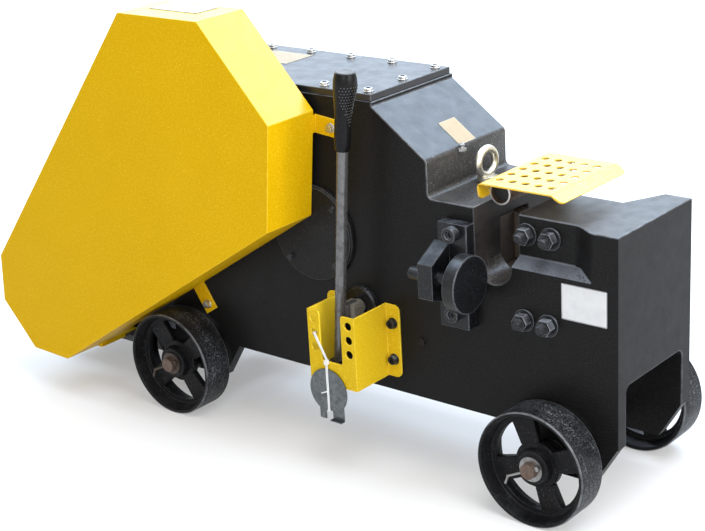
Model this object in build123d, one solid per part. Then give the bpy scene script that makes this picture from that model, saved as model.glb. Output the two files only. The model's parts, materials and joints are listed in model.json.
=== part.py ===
from build123d import *
import os
from math import acos, atan2, cos, degrees, hypot, pi, radians, sin, sqrt, tan

# Rebar cutting machine: a wheeled shear whose flywheel, gears and eccentric drive a ram through a U throat.
# Millimetres. X runs along the machine to the cutting end, Y from the operator's side to the back, Z up.
# The origin lies on the floor under the middle of the machine.

os.makedirs("parts", exist_ok=True)

# Clearances
running_gap = 0.05       # radial gap of shafts and pins that turn
sliding_gap = 0.08       # gap on each side of pieces that slide
press_gap = 0.02         # radial gap of pieces fitted for good
side_gap = 1.5           # gap between faces that turn or slide past each other

# Cast body
body_rear_x = -291.0
body_front_x = 621.5
body_bottom_z = 130.0
body_top_z = 605.0
body_half_w = 107.0
wall_t = 18.0
slope_top_x = 188.0
slope_top_z = 598.0
step_x = 289.0
step_rise = 59.0         # from the ledge to the foot of the slope
ledge_z = 466.0
jaw_top_z = 460.0
slope_round_r = 9.0
chamber_floor_z = 222.0
chamber_front_x = 218.0
chamber_neck_z = 565.0
floor_t = 20.0

# U throat
throat_x = 407.0
throat_w = 64.8
throat_bottom_z = 350.0

# Tunnel under the body and its opening in the end wall
tunnel_half_w = 84.0
tunnel_top_z = 224.0
tunnel_rear_x = 300.0
tunnel_corner_r = 12.0

# Recesses at both sides of the fixed jaw
front_recess_depth = 22.0
back_recess_depth = 68.0
recess_drop = 64.0       # from the jaw's top to the recess floor
recess_lip_step = 13.0
recess_inner_x = 543.0
recess_outer_x = 577.0

# Axle ears, axles and wheels
front_axle_x = 506.0
rear_axle_x = -249.0
ear_top_half_w = 114.0
ear_bottom_half_w = 74.0
front_ear_back_w = 44.0  # the front ears end upright, this far behind their axle
ear_bottom_z = 66.0
ear_t = 20.0
ear_boss_r = 27.0
ear_boss_t = 3.0
back_boss_t = 28.0       # longer bosses at the back, level with the motor
axle_r = 12.5
axle_overhang = 10.0
wheel_r = 93.0
wheel_w = 58.0
rim_t = 11.0             # at the web; the rim tapers to its lips
rim_taper = 4.5
web_t = 13.0
hub_r = 28.0
hub_overhang = 3.0
hub_recess = 8.0
spoke_count = 4
spoke_root_w = 34.0
spoke_tip_w = 44.0
window_inner_r = 38.0
window_outer_r = 74.0
front_spoke_deg = 20.0   # turn of the wheels as they stand
rear_spoke_deg = 39.0
washer_r = 20.0
washer_t = 3.0
cotter_r = 2.0
cotter_leg_len = 43.0
cotter_bend_len = 15.0
cotter_bend_deg = 43.0
cotter_turn_deg = 26.0

# Top cover
cover_t = 11.0
cover_inset = 3.0
cover_bolt_pitch = 88.0
cover_bolt_edge = 17.0
cover_bolt_r = 7.0
cover_bolt_h = 5.0

# Crank drive
crank_x = 58.0
crank_z = 374.0
crank_throw = 21.0
crank_journal_r = 40.0
crank_pin_r = 32.0
crank_bush_t = 12.0
block_wall = 10.0
yoke_play = 0.7          # spare play of the yoke beyond the sine error of the crank's even stroke
yoke_bar = 22.0
yoke_beam = 20.0
ram_half_w = 38.0
ram_bottom_z = 352.0
ram_h = 80.0

# Gear train
input_x = -143.0
input_z = 517.0
shaft_r = 20.0
shaft_bush_t = 8.0
pinion_teeth = 14
wheel_teeth = 50
input_module = 4.5
output_module = 5.5
gear_w = 38.0
pinion_extra_w = 2.0
addendum = 0.8
dedendum = 1.05
pressure_deg = 20.0
backlash = 0.6
gear_rim_t = 14.0
gear_web_t = 14.0
gear_hub_r = 62.0
idler_hub_r = 36.0

# Bearing caps
crank_cap_r = 82.0
crank_cap_t = 9.0
crank_cap_bolt_r = 68.0
shaft_cap_r = 50.0
shaft_cap_t = 10.0
shaft_cap_bolt_r = 40.0
cap_edge = 3.0
cap_bolt_r = 6.5
cap_bolt_h = 5.0

# Flywheel, belts and motor pulley
flywheel_r = 187.0
motor_pulley_r = 70.0
belt_count = 3
groove_pitch = 19.0
groove_edge = 12.5
groove_top_w = 17.0
groove_bottom_w = 9.6
groove_depth = 14.0
belt_h = 10.5
belt_side_gap = 0.35
pulley_gap = 16.0        # from the body wall to the pulleys
flywheel_rim_t = 30.0
flywheel_web_t = 16.0
flywheel_hub_r = 44.0
flywheel_hole_count = 5
flywheel_hole_r = 34.0

# Belt guard
guard_gap = 10.0         # from the body wall to the open back of the guard
guard_depth = 107.0
guard_t = 2.0
guard_end_reach = 208.0  # flat edges' distances from the flywheel axis
guard_slant_reach = 214.0
guard_side_reach = 203.0
guard_side_deg = 99.6
guard_slant_deg = 48.0
guard_foot_reach = 89.0  # flat edges' distances from the motor axis
guard_foot_slant_reach = 101.0
guard_foot_slant_deg = 134.0
tab_t = 3.0
tab_w = 30.0
upper_tab_along = 64.0   # from the middle of the guard's flat edge to the middle of its tab
upper_tab_reach = 45.0
lower_tab_along = -219.0
lower_tab_reach = 50.0
tab_bolt_edge = 14.0
rear_tab_x = -465.0

# Motor
motor_x = -518.0
stator_inset = 20.0      # from the motor frame's ends to the core
rotor_inset = 15.0
fan_gap = 8.0            # from the shield to the fan
motor_z = 179.0
motor_shaft_h = 100.0
motor_frame_r = 86.0
motor_bore_r = 76.0
motor_frame_y = -62.0
motor_frame_len = 190.0
fin_count = 24
fin_h = 11.0
fin_t = 4.0
shield_r = 97.0
shield_t = 20.0
fan_cover_len = 76.0
fan_cover_t = 2.0
fan_r = 80.0
fan_w = 30.0
rotor_r = 60.0
air_gap = 0.6
motor_shaft_r = 14.0
foot_span_x = 160.0
foot_span_y = 140.0
foot_pad_w = 46.0
foot_pad_t = 12.0
foot_web_t = 16.0
terminal_w = 90.0
terminal_h = 52.0
terminal_wall = 6.0
cable_entry_r = 10.2
motor_bolt_r = 6.0
motor_bolt_head_h = 8.0

# Motor base
base_t = 12.0
base_flange_h = 42.0
base_flange_t = 8.0
base_lip_h = 22.0
base_rear_edge = 23.0    # from the rear foot bolts to the base's rear edge
base_front_x = -268.0
base_wide_edge = 62.0    # from the front foot bolts to the end of the wide part
base_back_y = 126.0
base_slot_len = 40.0

# Cutting blades
blade_gap = 0.3          # from each blade to the shear plane
blade_w = 29.5
blade_h = 70.0
fixed_blade_face_x = 424.0
fixed_blade_len = 54.0
moving_blade_face_x = 384.5
moving_blade_len = 50.0
moving_blade_h = 74.0
blade_edge = 2.0
blade_screw_r = 8.0
blade_screw_head_r = 12.0
blade_screw_head_h = 14.0
blade_screw_len = 50.0

# Studs through the fixed jaw
stud_r = 8.0
stud_pitch = 42.0
upper_stud_x = 454.0
upper_stud_drop = 29.0   # from the jaw's top to the upper studs
lower_stud_x = 462.0
lower_stud_z = 304.0
nut_flat = 24.0
nut_h = 14.0
stud_washer_r = 17.5
stud_overhang = 11.0

# Hinged cutter guard with its tube
flap_axis_x = 394.0
flap_axis_rise = 14.0    # from the higher of ledge and jaw to the hinge axis
flap_tube_r = 19.0
flap_tube_wall = 3.2
flap_tube_front_y = -66.0
flap_tube_back_y = 90.0
flap_half_w = 93.0
flap_t = 2.5
flap_left_x = 370.0
flap_right_x = 503.0
flap_lip_x = 520.0
flap_lip_drop = 11.0
flap_lip_trim = 6.0
flap_bend_r = 9.0
flap_weld = 0.8          # depth that the tube is sunk into the sheet
flap_hole_r = 6.2
flap_hole_x = 392.5
flap_hole_pitch_x = 23.0
flap_hole_pitch_y = 31.5
flap_hole_count = 5
hinge_pin_end_y = -58.0
hinge_plate_t = 10.0
hinge_plate_w = 42.0
hinge_plate_bottom_z = 396.0
hinge_eye_r = 13.0
hinge_bolt_r = 9.0
hinge_bolt_h = 7.0

# Lifting eye and grease fitting
eye_x = 315.0
eye_y = 15.0
eye_rise = 31.0          # from the ledge to the middle of the ring
eye_ring_r = 21.0
eye_wire_r = 6.0
eye_turn_deg = -3.0      # turn of the ring about its shank
eye_collar_r = 16.0
eye_collar_h = 9.0
nipple_y = -18.0
nipple_r = 3.4
nipple_h = 11.0
nipple_base_r = 5.0
nipple_base_t = 4.0

# Clutch lever, trip pin and their bracket
lever_y = -158.0
lever_pivot_x = 136.5
lever_pivot_z = 170.0
lever_lean_deg = 5.0
lever_r = 9.0
lever_len = 489.0
lever_eye_r = 14.0
lever_eye_w = 12.0
pivot_pin_r = 6.0
pivot_cheek_t = 9.0
pivot_base_t = 8.0
grip_len = 124.0
grip_cap = 5.5           # rubber above the rod's end
grip_end_r = 11.0
grip_waist_r = 12.9
grip_bulge_r = 18.4
grip_top_r = 15.6
grip_bulge_x = 3.2       # the bulge leans to the front of the machine
trip_x = 150.0
trip_z = 267.0
trip_r = 12.0
trip_flange_r = 33.0
trip_flange_t = 10.0
trip_gap = 1.5           # from the trip pin's tip to the clutch gear
clevis_end_y = -144.0
clevis_slot_w = 8.0
clevis_slot_depth = 23.5
link_pin_r = 4.0
link_pin_y = -136.0
lug_w = 7.4
lug_edge = 6.0
lug_slot_half_h = 7.5
lug_slot_gap = 0.3
bracket_depth = 85.0
bracket_t = 3.5
bracket_left_x = 104.0
bracket_right_x = 200.0
bracket_bottom_z = 155.0
bracket_top_z = 279.0
bracket_flange_w = 26.0
bracket_corner_r = 11.0
strip_corner_r = 5.0
slot_left_x = 128.5
slot_right_x = 172.0
slot_bottom_z = 195.0
bracket_hole_r = 7.0
bracket_hole_pitch = 24.0
bracket_hole_top_z = 264.0
bracket_hole_edge = 13.0
bracket_bolt_r = 8.0
bracket_bolt_h = 9.0

# Bar stop
stop_plate_left_x = 321.0
stop_plate_right_x = 374.0
stop_plate_t = 20.0
stop_plate_bottom_z = 274.0
stop_plate_top_z = 442.0
stop_arm_left_x = 314.0
stop_arm_w = 28.0
stop_arm_reach = 46.0
stop_arm_root_up = 49.0      # heights of the arm's corners from the spindle axis
stop_arm_shoulder_up = 42.0
stop_arm_shoulder_out = 13.0
stop_arm_tip_up = 24.0
stop_arm_tip_down = 32.0
stop_arm_root_down = 47.0
stop_axis_out = 48.5     # from the body wall to the spindle
stop_axis_z = 363.0
spindle_r = 10.0
spindle_left_x = 289.0
stop_disc_r = 45.0
stop_disc_t = 22.0
stop_face_x = 400.0
stop_screw_x = 350.0
stop_screw_z = 427.0
stop_screw_drop = 128.0
stop_screw_r = 12.0
stop_screw_h = 14.0
stop_screw_shank_r = 7.0
stop_screw_depth = 30.0

# Spare plate hung on a tie
spare_plate_r = 38.0
spare_plate_t = 2.0
spare_plate_x = 142.0
spare_plate_z = 145.0
spare_leg_drop = 12.0    # from the round plate's foot to the legs' ends
spare_notch_w = 14.0
spare_notch_h = 16.0
spare_left_leg_w = 13.0
spare_right_leg_w = 23.0
spare_hook_t = 2.0
spare_hook_reach = 8.0
tie_w = 4.0
tie_t = 1.4
tie_head_w = 5.6
tie_head_h = 7.0
tie_head_t = 4.0
tie_tail_len = 15.0
tie_tail_deg = 24.0
tie_margin = 4.0         # from the plate's foot to where the tie goes round it

# Values that follow
front_y = -body_half_w
back_y = body_half_w
inner_half_w = body_half_w - wall_t
throat_r = throat_w / 2
throat_left_x = throat_x - throat_r
throat_right_x = throat_x + throat_r
axle_z = wheel_r
near_wheel_y = body_half_w + ear_boss_t + hub_overhang
far_wheel_y = body_half_w + back_boss_t + hub_overhang
hub_reach = wheel_w - hub_recess
input_distance = input_module * (pinion_teeth + wheel_teeth) / 2
output_distance = output_module * (pinion_teeth + wheel_teeth) / 2
shaft_line = hypot(crank_x - input_x, crank_z - input_z)
along = (input_distance ** 2 - output_distance ** 2 + shaft_line ** 2) / (2 * shaft_line)
across = sqrt(input_distance ** 2 - along ** 2)
line_x = (crank_x - input_x) / shaft_line
line_z = (crank_z - input_z) / shaft_line
idler_x = input_x + along * line_x + across * line_z
idler_z = input_z + along * line_z - across * line_x
gear_front_y = -inner_half_w + 5.0
gear_back_y = inner_half_w - 5.0
crank_bush_r = crank_journal_r + running_gap + crank_bush_t
shaft_bush_r = shaft_r + running_gap + shaft_bush_t
pulley_w = 2 * groove_edge + (belt_count - 1) * groove_pitch
pulley_back_y = front_y - pulley_gap
pulley_front_y = pulley_back_y - pulley_w
guard_back_y = front_y - guard_gap
guard_front_y = guard_back_y - guard_depth
base_top_z = motor_z - motor_shaft_h
base_rear_x = motor_x - foot_span_x / 2 - base_rear_edge
base_wide_x = motor_x + foot_span_x / 2 + base_wide_edge
motor_frame_end = motor_frame_y + motor_frame_len
fan_cover_end = motor_frame_end + shield_t + fan_cover_len
block_half = crank_pin_r + running_gap + block_wall
sine_error = 0.2106 * crank_throw
slot_half = block_half + sine_error + yoke_play
slot_half_h = block_half + crank_throw + side_gap
yoke_x = crank_x - crank_throw
ram_top_z = ram_bottom_z + ram_h
bracket_front_y = front_y - bracket_depth
stop_y = front_y - stop_axis_out
step_top_z = ledge_z + step_rise
recess_floor_z = jaw_top_z - recess_drop
recess_lip_z = recess_floor_z - recess_lip_step
upper_stud_z = jaw_top_z - upper_stud_drop
flap_axis_z = max(ledge_z, jaw_top_z) + flap_axis_rise
recess_front_y = front_y + front_recess_depth
recess_back_y = back_y - back_recess_depth


def block(x_from, x_to, y_from, y_to, z_from, z_to):
    """Box between two corners."""
    middle = Pos((x_from + x_to) / 2, (y_from + y_to) / 2, (z_from + z_to) / 2)
    return middle * Box(abs(x_to - x_from), abs(y_to - y_from), abs(z_to - z_from))


def rod_x(y, z, radius, x_from, x_to):
    """Round bar along X."""
    return Pos((x_from + x_to) / 2, y, z) * Rot(0, 90, 0) * Cylinder(radius, abs(x_to - x_from))


def rod_y(x, z, radius, y_from, y_to):
    """Round bar along Y."""
    return Pos(x, (y_from + y_to) / 2, z) * Rot(90, 0, 0) * Cylinder(radius, abs(y_to - y_from))


def rod_z(x, y, radius, z_from, z_to):
    """Round bar along Z."""
    return Pos(x, y, (z_from + z_to) / 2) * Cylinder(radius, abs(z_to - z_from))


def outline(*points):
    """Face inside a closed line of points."""
    return make_face(Polyline(*points, close=True))


def round_corners(face, radius, *corners):
    """Round the named corners of a flat face."""
    chosen = [v for v in face.vertices() if any(hypot(v.X - x, v.Y - y) < 0.01 for x, y in corners)]
    return fillet(chosen, radius)


def side_slab(face, y_from, y_to):
    """Extrude a face drawn in X and Z from one Y to another."""
    plane = Plane(origin=(0, y_to, 0), x_dir=(1, 0, 0), z_dir=(0, -1, 0))
    return extrude(plane * face, amount=y_to - y_from)


def end_slab(face, x_from, x_to):
    """Extrude a face drawn in Y and Z from one X to another."""
    plane = Plane(origin=(x_from, 0, 0), x_dir=(0, 1, 0), z_dir=(1, 0, 0))
    return extrude(plane * face, amount=x_to - x_from)


def flat_slab(face, z_from, z_to):
    """Extrude a face drawn in X and Y from one Z to another."""
    return extrude(Pos(0, 0, z_from) * face, amount=z_to - z_from)


def turned_y(x, z, *points):
    """Turned piece about an axis along Y; the points are radius and Y."""
    return Pos(x, 0, z) * revolve(outline(*points), Axis.Y)


def hex_y(x, z, flat, y_from, y_to):
    """Hexagon bar along Y."""
    face = Pos(x, z) * RegularPolygon(flat / 2, 6, major_radius=False)
    return side_slab(face, min(y_from, y_to), max(y_from, y_to))


def circle_points(x, z, radius, count, start_deg=0.0):
    """Points spaced evenly round a circle in the XZ plane."""
    turns = [radians(start_deg + 360 * i / count) for i in range(count)]
    return [(x + radius * cos(a), z + radius * sin(a)) for a in turns]


def save(node, *solids):
    """Write one node, a single solid or a group of separate ones."""
    shape = solids[0] if len(solids) == 1 else Compound(children=list(solids))
    export_step(shape, f"parts/{node}.step")


def gear_outline(teeth, module, tooth_deg):
    """Spur gear outline about the origin, with a tooth centred at the given angle."""
    pitch_r = module * teeth / 2
    tip_r = pitch_r + addendum * module
    root_r = pitch_r - dedendum * module
    base_r = pitch_r * cos(radians(pressure_deg))
    start_r = max(base_r, root_r)
    half_pitch = (pi * module / 2 - backlash / 2) / (2 * pitch_r)
    involute_pitch = tan(radians(pressure_deg)) - radians(pressure_deg)

    def half_angle(radius):
        swing = acos(min(1.0, base_r / radius))
        return half_pitch + involute_pitch - (tan(swing) - swing)

    flank = [start_r, tip_r] if root_r >= base_r else [start_r, (start_r + tip_r) / 2, tip_r]
    side = [(r, half_angle(r)) for r in flank]
    if root_r < base_r:
        side.insert(0, (root_r, half_angle(start_r)))
    points = []
    for tooth in range(teeth):
        middle = radians(tooth_deg) + 2 * pi * tooth / teeth
        points += [(r * cos(middle - a), r * sin(middle - a)) for r, a in side]
        points += [(r * cos(middle + a), r * sin(middle + a)) for r, a in reversed(side)]
    return outline(*points)


def toothed_wheel(x, z, teeth, module, tooth_deg, y_from, y_to):
    """Straight-toothed gear blank between two Y values."""
    return side_slab(Pos(x, z) * gear_outline(teeth, module, tooth_deg), y_from, y_to)


def webbed_wheel(x, z, module, tooth_deg, y_from, y_to, hub_radius, bore_r):
    """Large gear with a thin web between its toothed rim and its hub."""
    gear = toothed_wheel(x, z, wheel_teeth, module, tooth_deg, y_from, y_to)
    rim_inner_r = module * (wheel_teeth / 2 - dedendum) - gear_rim_t
    pocket = (y_to - y_from - gear_web_t) / 2
    for y_start, y_end in ((y_from, y_from + pocket), (y_to - pocket, y_to)):
        ring = rod_y(x, z, rim_inner_r, y_start, y_end) - rod_y(x, z, hub_radius, y_start, y_end)
        gear -= ring
    return gear - rod_y(x, z, bore_r, y_from, y_to)


def meeting(angle_a, reach_a, angle_b, reach_b):
    """Point where two lines meet, each given by its normal's angle and its distance from the origin."""
    det = sin(angle_b - angle_a)
    x = (reach_a * sin(angle_b) - reach_b * sin(angle_a)) / det
    z = (reach_b * cos(angle_a) - reach_a * cos(angle_b)) / det
    return x, z


def guard_outline(offset):
    """Eight-sided outline of the belt guard round both pulleys, moved inwards by the offset."""
    axis = atan2(input_z - motor_z, input_x - motor_x)
    span = hypot(input_x - motor_x, input_z - motor_z)
    edges = [(0.0, guard_end_reach)]
    edges.append((guard_slant_deg, guard_slant_reach))
    edges.append((guard_side_deg, guard_side_reach))
    edges.append((guard_foot_slant_deg, guard_foot_slant_reach - span * cos(radians(guard_foot_slant_deg))))
    edges.append((180.0, guard_foot_reach + span))
    edges += [(-angle, reach) for angle, reach in reversed(edges[1:4])]
    lines = [(axis + radians(angle), reach - offset) for angle, reach in edges]
    corners = [meeting(*lines[i - 1], *lines[i]) for i in range(len(lines))]
    return outline(*[(input_x + x, input_z + z) for x, z in corners])


def belt_path(reach):
    """Closed line round both pulleys at a depth below their rims."""
    big = Vector(input_x, input_z)
    small = Vector(motor_x, motor_z)
    u = (small - big).normalized()
    v = Vector(-u.Y, u.X)
    big_r = flywheel_r - reach
    small_r = motor_pulley_r - reach
    lift = acos((big_r - small_r) / (small - big).length)
    n_up = u * cos(lift) + v * sin(lift)
    n_down = u * cos(lift) - v * sin(lift)
    far = ThreePointArc(big + n_up * big_r, big - u * big_r, big + n_down * big_r)
    near = ThreePointArc(small + n_down * small_r, small + u * small_r, small + n_up * small_r)
    low = Line(big + n_down * big_r, small + n_down * small_r)
    high = Line(small + n_up * small_r, big + n_up * big_r)
    return make_face([far, low, near, high])


def make_body():
    """Cast body with its gear chamber, ram guide, throat, jaw recesses, tunnel and axle ears."""
    profile = outline(
        (body_rear_x, body_bottom_z), (body_front_x, body_bottom_z), (body_front_x, jaw_top_z),
        (throat_x, jaw_top_z), (throat_x, ledge_z), (step_x, ledge_z), (step_x, step_top_z),
        (slope_top_x, slope_top_z), (slope_top_x, body_top_z), (body_rear_x, body_top_z))
    profile = round_corners(profile, slope_round_r, (step_x, ledge_z), (step_x, step_top_z))
    body = side_slab(profile, front_y, back_y)
    body += make_ears(front_axle_x, front_ear_back_w, front_ear_back_w)
    body += make_ears(rear_axle_x, ear_top_half_w, ear_bottom_half_w)
    chamber = outline(
        (body_rear_x + wall_t, chamber_floor_z), (chamber_front_x, chamber_floor_z),
        (chamber_front_x, chamber_neck_z - (chamber_front_x - slope_top_x) - wall_t),
        (slope_top_x - wall_t, chamber_neck_z), (slope_top_x - wall_t, body_top_z),
        (body_rear_x + wall_t, body_top_z))
    body -= side_slab(chamber, -inner_half_w, inner_half_w)
    throat_centre_z = throat_bottom_z + throat_r
    body -= block(throat_left_x, throat_right_x, front_y, back_y, throat_centre_z, ledge_z)
    body -= rod_y(throat_x, throat_centre_z, throat_r, front_y, back_y)
    guide_half = ram_half_w + sliding_gap
    guide_end_x = moving_blade_face_x + 2 * crank_throw + side_gap
    guide_bottom = ram_bottom_z - sliding_gap
    body -= block(chamber_front_x, throat_left_x, -guide_half, guide_half, guide_bottom, ram_top_z + sliding_gap)
    body -= block(throat_left_x, guide_end_x, -guide_half, guide_half, guide_bottom, throat_centre_z)
    pocket_x = fixed_blade_face_x + fixed_blade_len
    pocket_y = -blade_gap - blade_w - press_gap
    body -= block(throat_x, pocket_x, pocket_y, 0, ram_bottom_z - sliding_gap, fixed_blade_top() + press_gap)
    body -= make_tunnel()
    body -= make_recess(front_y, recess_front_y)
    body -= make_recess(back_y, recess_back_y)
    body -= rod_y(crank_x, crank_z, crank_bush_r + press_gap, front_y, back_y)
    for x, z in ((input_x, input_z), (idler_x, idler_z)):
        body -= rod_y(x, z, shaft_bush_r + press_gap, front_y, back_y)
    for x, z, _, _ in stud_places():
        body -= rod_y(x, z, stud_r + press_gap, front_y, back_y)
    body -= rod_y(trip_x, trip_z, trip_r + running_gap, front_y, -inner_half_w)
    for z in (stop_screw_z, stop_screw_z - stop_screw_drop):
        body -= rod_y(stop_screw_x, z, stop_screw_shank_r + press_gap, front_y, front_y + stop_screw_depth)
    return body


def make_ears(x, back_top_w, back_bottom_w):
    """Pair of ears that carry one axle under the body, slanted in front and as wide behind as given."""
    face = outline(
        (x - back_top_w, body_bottom_z), (x - back_bottom_w, ear_bottom_z),
        (x + ear_bottom_half_w, ear_bottom_z), (x + ear_top_half_w, body_bottom_z))
    ears = side_slab(face, front_y, front_y + ear_t) + side_slab(face, back_y - ear_t, back_y)
    ears += rod_y(x, axle_z, ear_boss_r, front_y - ear_boss_t, front_y)
    ears += rod_y(x, axle_z, ear_boss_r, back_y, back_y + back_boss_t)
    return ears - rod_y(x, axle_z, axle_r + press_gap, front_y - ear_boss_t, back_y + back_boss_t)


def make_tunnel():
    """Hollow under the body: a low part under the gear chamber and a higher one behind the end opening."""
    half = tunnel_half_w
    opening = outline(
        (-half, body_bottom_z), (half, body_bottom_z), (half, tunnel_top_z), (-half, tunnel_top_z))
    opening = round_corners(opening, tunnel_corner_r, (half, tunnel_top_z), (-half, tunnel_top_z))
    high = end_slab(opening, tunnel_rear_x, body_front_x)
    low_top = chamber_floor_z - floor_t
    return high + block(body_rear_x + wall_t, tunnel_rear_x, -half, half, body_bottom_z, low_top)


def make_recess(face_y, inner_y):
    """Cut at one side of the fixed jaw, with a sloping floor and a slanted end."""
    out_y = face_y + (face_y - inner_y) / abs(face_y - inner_y)
    plan = outline(
        (throat_x, inner_y), (recess_inner_x, inner_y), (recess_outer_x, face_y), (recess_outer_x, out_y),
        (throat_x, out_y))
    cut = flat_slab(plan, recess_lip_z, jaw_top_z)
    wedge = outline((inner_y, recess_lip_z), (face_y, recess_lip_z), (inner_y, recess_floor_z))
    return cut - end_slab(wedge, throat_x, recess_outer_x)


def stud_places():
    """X, Z and the two seat faces of each stud through the fixed jaw."""
    upper = [(upper_stud_x + i * stud_pitch, upper_stud_z, recess_front_y, recess_back_y) for i in (0, 1)]
    lower = [(lower_stud_x + i * stud_pitch, lower_stud_z, front_y, back_y) for i in (0, 1)]
    return upper + lower


def make_jaw_fixings():
    """Studs, nuts and washers of the fixed jaw."""
    studs, nuts, washers = [], [], []
    stack = washer_t + nut_h
    for x, z, seat_front, seat_back in stud_places():
        studs.append(rod_y(x, z, stud_r, seat_front - stack - stud_overhang, seat_back + stack + stud_overhang))
        for seat, way in ((seat_front, -1), (seat_back, 1)):
            hole = rod_y(x, z, stud_r + press_gap, seat, seat + way * stack)
            washers.append(rod_y(x, z, stud_washer_r, seat, seat + way * washer_t) - hole)
            nuts.append(hex_y(x, z, nut_flat, seat + way * washer_t, seat + way * stack) - hole)
    return studs, nuts, washers


def make_cover():
    """Flat cover over the gear chamber."""
    return block(
        body_rear_x + cover_inset, slope_top_x - cover_inset, front_y + cover_inset, back_y - cover_inset,
        body_top_z, body_top_z + cover_t)


def make_cover_bolts():
    """Low round bolt heads round the cover's edge."""
    first_x = slope_top_x - cover_inset - cover_bolt_edge
    last_x = body_rear_x + cover_inset + cover_bolt_edge
    steps = round((first_x - last_x) / cover_bolt_pitch)
    row_y = body_half_w - cover_inset - cover_bolt_edge
    row = [first_x - i * cover_bolt_pitch for i in range(steps + 1)]
    places = [(x, y) for x in row for y in (-row_y, row_y)] + [(first_x, 0.0), (row[-1], 0.0)]
    top = body_top_z + cover_t
    return [rod_z(x, y, cover_bolt_r, top, top + cover_bolt_h) for x, y in places]


def wheel_start_y(side):
    """Distance from the middle of the machine to the inner face of the wheels on one side."""
    return near_wheel_y if side < 0 else far_wheel_y


def wheel_profile(side):
    """Radius and Y points of a cast wheel on one side of the machine."""
    inner = wheel_start_y(side)
    outer = inner + wheel_w
    hub_outer = inner + hub_reach
    web_in = (inner + outer - web_t) / 2
    web_out = web_in + web_t
    bore = axle_r + running_gap
    rim_r = wheel_r - rim_t
    points = [
        (bore, inner - hub_overhang), (hub_r, inner - hub_overhang), (hub_r, web_in), (rim_r, web_in),
        (rim_r + rim_taper, inner), (wheel_r, inner), (wheel_r, outer), (rim_r + rim_taper, outer), (rim_r, web_out),
        (hub_r, web_out), (hub_r, hub_outer), (bore, hub_outer)]
    return [(r, side * y) for r, y in points]


def make_spoke(x, turn_deg, y_from, y_to):
    """One spoke of a wheel, wider at the rim."""
    turn = radians(turn_deg)
    root, tip = spoke_root_w / 2, spoke_tip_w / 2
    corners = [
        (0, -root), (window_inner_r, -root), (wheel_r, -tip), (wheel_r, tip), (window_inner_r, root), (0, root)]
    face = outline(*[
        (x + u * cos(turn) - v * sin(turn), axle_z + u * sin(turn) + v * cos(turn)) for u, v in corners])
    return side_slab(face, y_from, y_to)


def make_wheel(x, side, turn_deg):
    """Cast wheel with a deep rim and windows between its spokes."""
    wheel = turned_y(x, axle_z, *wheel_profile(side))
    middle = side * (wheel_start_y(side) + wheel_w / 2)
    y_from, y_to = middle - web_t, middle + web_t
    windows = rod_y(x, axle_z, window_outer_r, y_from, y_to) - rod_y(x, axle_z, window_inner_r, y_from, y_to)
    for i in range(spoke_count):
        windows -= make_spoke(x, turn_deg + i * 360 / spoke_count, y_from, y_to)
    return wheel - windows


def make_axles():
    """Two round axles, their washers and their split pins."""
    axles, washers, cotters = [], [], []
    near_end = near_wheel_y + hub_reach + washer_t + axle_overhang
    far_end = far_wheel_y + hub_reach + washer_t + axle_overhang
    for x in (front_axle_x, rear_axle_x):
        axle = rod_y(x, axle_z, axle_r, -near_end, far_end)
        for side in (-1, 1):
            seat = side * (wheel_start_y(side) + hub_reach)
            outer = seat + side * washer_t
            cotter_y = outer + side * axle_overhang / 2
            turn = Pos(x, cotter_y, axle_z) * Rot(0, -cotter_turn_deg, 0)
            axle -= turn * rod_x(0, 0, cotter_r + press_gap, -axle_r, axle_r)
            washer = rod_y(x, axle_z, washer_r, seat, outer)
            washers.append(washer - rod_y(x, axle_z, axle_r + press_gap, seat, outer))
            cotters.append(turn * make_cotter())
        axles.append(axle)
    return axles, washers, cotters


def make_cotter():
    """Split pin through the origin along X, with a round eye and a bent leg."""
    eye_r = 2 * cotter_r
    eye_x = axle_r + eye_r
    pin = rod_x(0, 0, cotter_r, -cotter_leg_len, eye_x)
    pin += rod_y(eye_x, 0, eye_r, -cotter_r, cotter_r)
    bend = Pos(cotter_r - cotter_leg_len, 0, 0) * Rot(0, -cotter_bend_deg, 0)
    return pin + bend * rod_x(0, 0, cotter_r, -cotter_bend_len, 0)


def make_crankshaft():
    """Crankshaft with its throw turned to the rear, away from the throat."""
    inset = side_gap
    pin_half = ram_half_w + inset
    shaft = rod_y(crank_x, crank_z, crank_journal_r, front_y + inset, -pin_half)
    shaft += rod_y(crank_x, crank_z, crank_journal_r, pin_half, back_y - inset)
    return shaft + rod_y(crank_x - crank_throw, crank_z, crank_pin_r, -pin_half, pin_half)


def make_slider_block():
    """Square block that turns on the crank pin and slides up and down in the ram's yoke."""
    half_w = ram_half_w - 1
    x = crank_x - crank_throw
    slider = block(x - block_half, x + block_half, -half_w, half_w, crank_z - block_half, crank_z + block_half)
    return slider - rod_y(x, crank_z, crank_pin_r + running_gap, -half_w, half_w)


def make_ram():
    """Ram with a yoke round the slider block and a seat for the moving blade."""
    yoke_left = yoke_x - slot_half - yoke_bar
    yoke_right = yoke_x + slot_half + yoke_bar
    yoke_low = crank_z - slot_half_h - yoke_beam
    yoke_high = crank_z + slot_half_h + yoke_beam
    ram = block(yoke_left, yoke_right, -ram_half_w, ram_half_w, yoke_low, yoke_high)
    ram -= block(
        yoke_x - slot_half, yoke_x + slot_half, -ram_half_w, ram_half_w,
        crank_z - slot_half_h, crank_z + slot_half_h)
    ram += block(yoke_right, throat_left_x, -ram_half_w, ram_half_w, ram_bottom_z, ram_top_z)
    seat_x = moving_blade_face_x - moving_blade_len
    ram -= block(seat_x, throat_left_x, 0, ram_half_w, ram_bottom_z, ram_top_z)
    return ram - blade_screw_hole()


def blade_screw_place():
    """X and Z of the screw that holds the moving blade."""
    return (moving_blade_face_x - moving_blade_len + throat_left_x) / 2, ram_bottom_z + ram_h / 2


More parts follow.
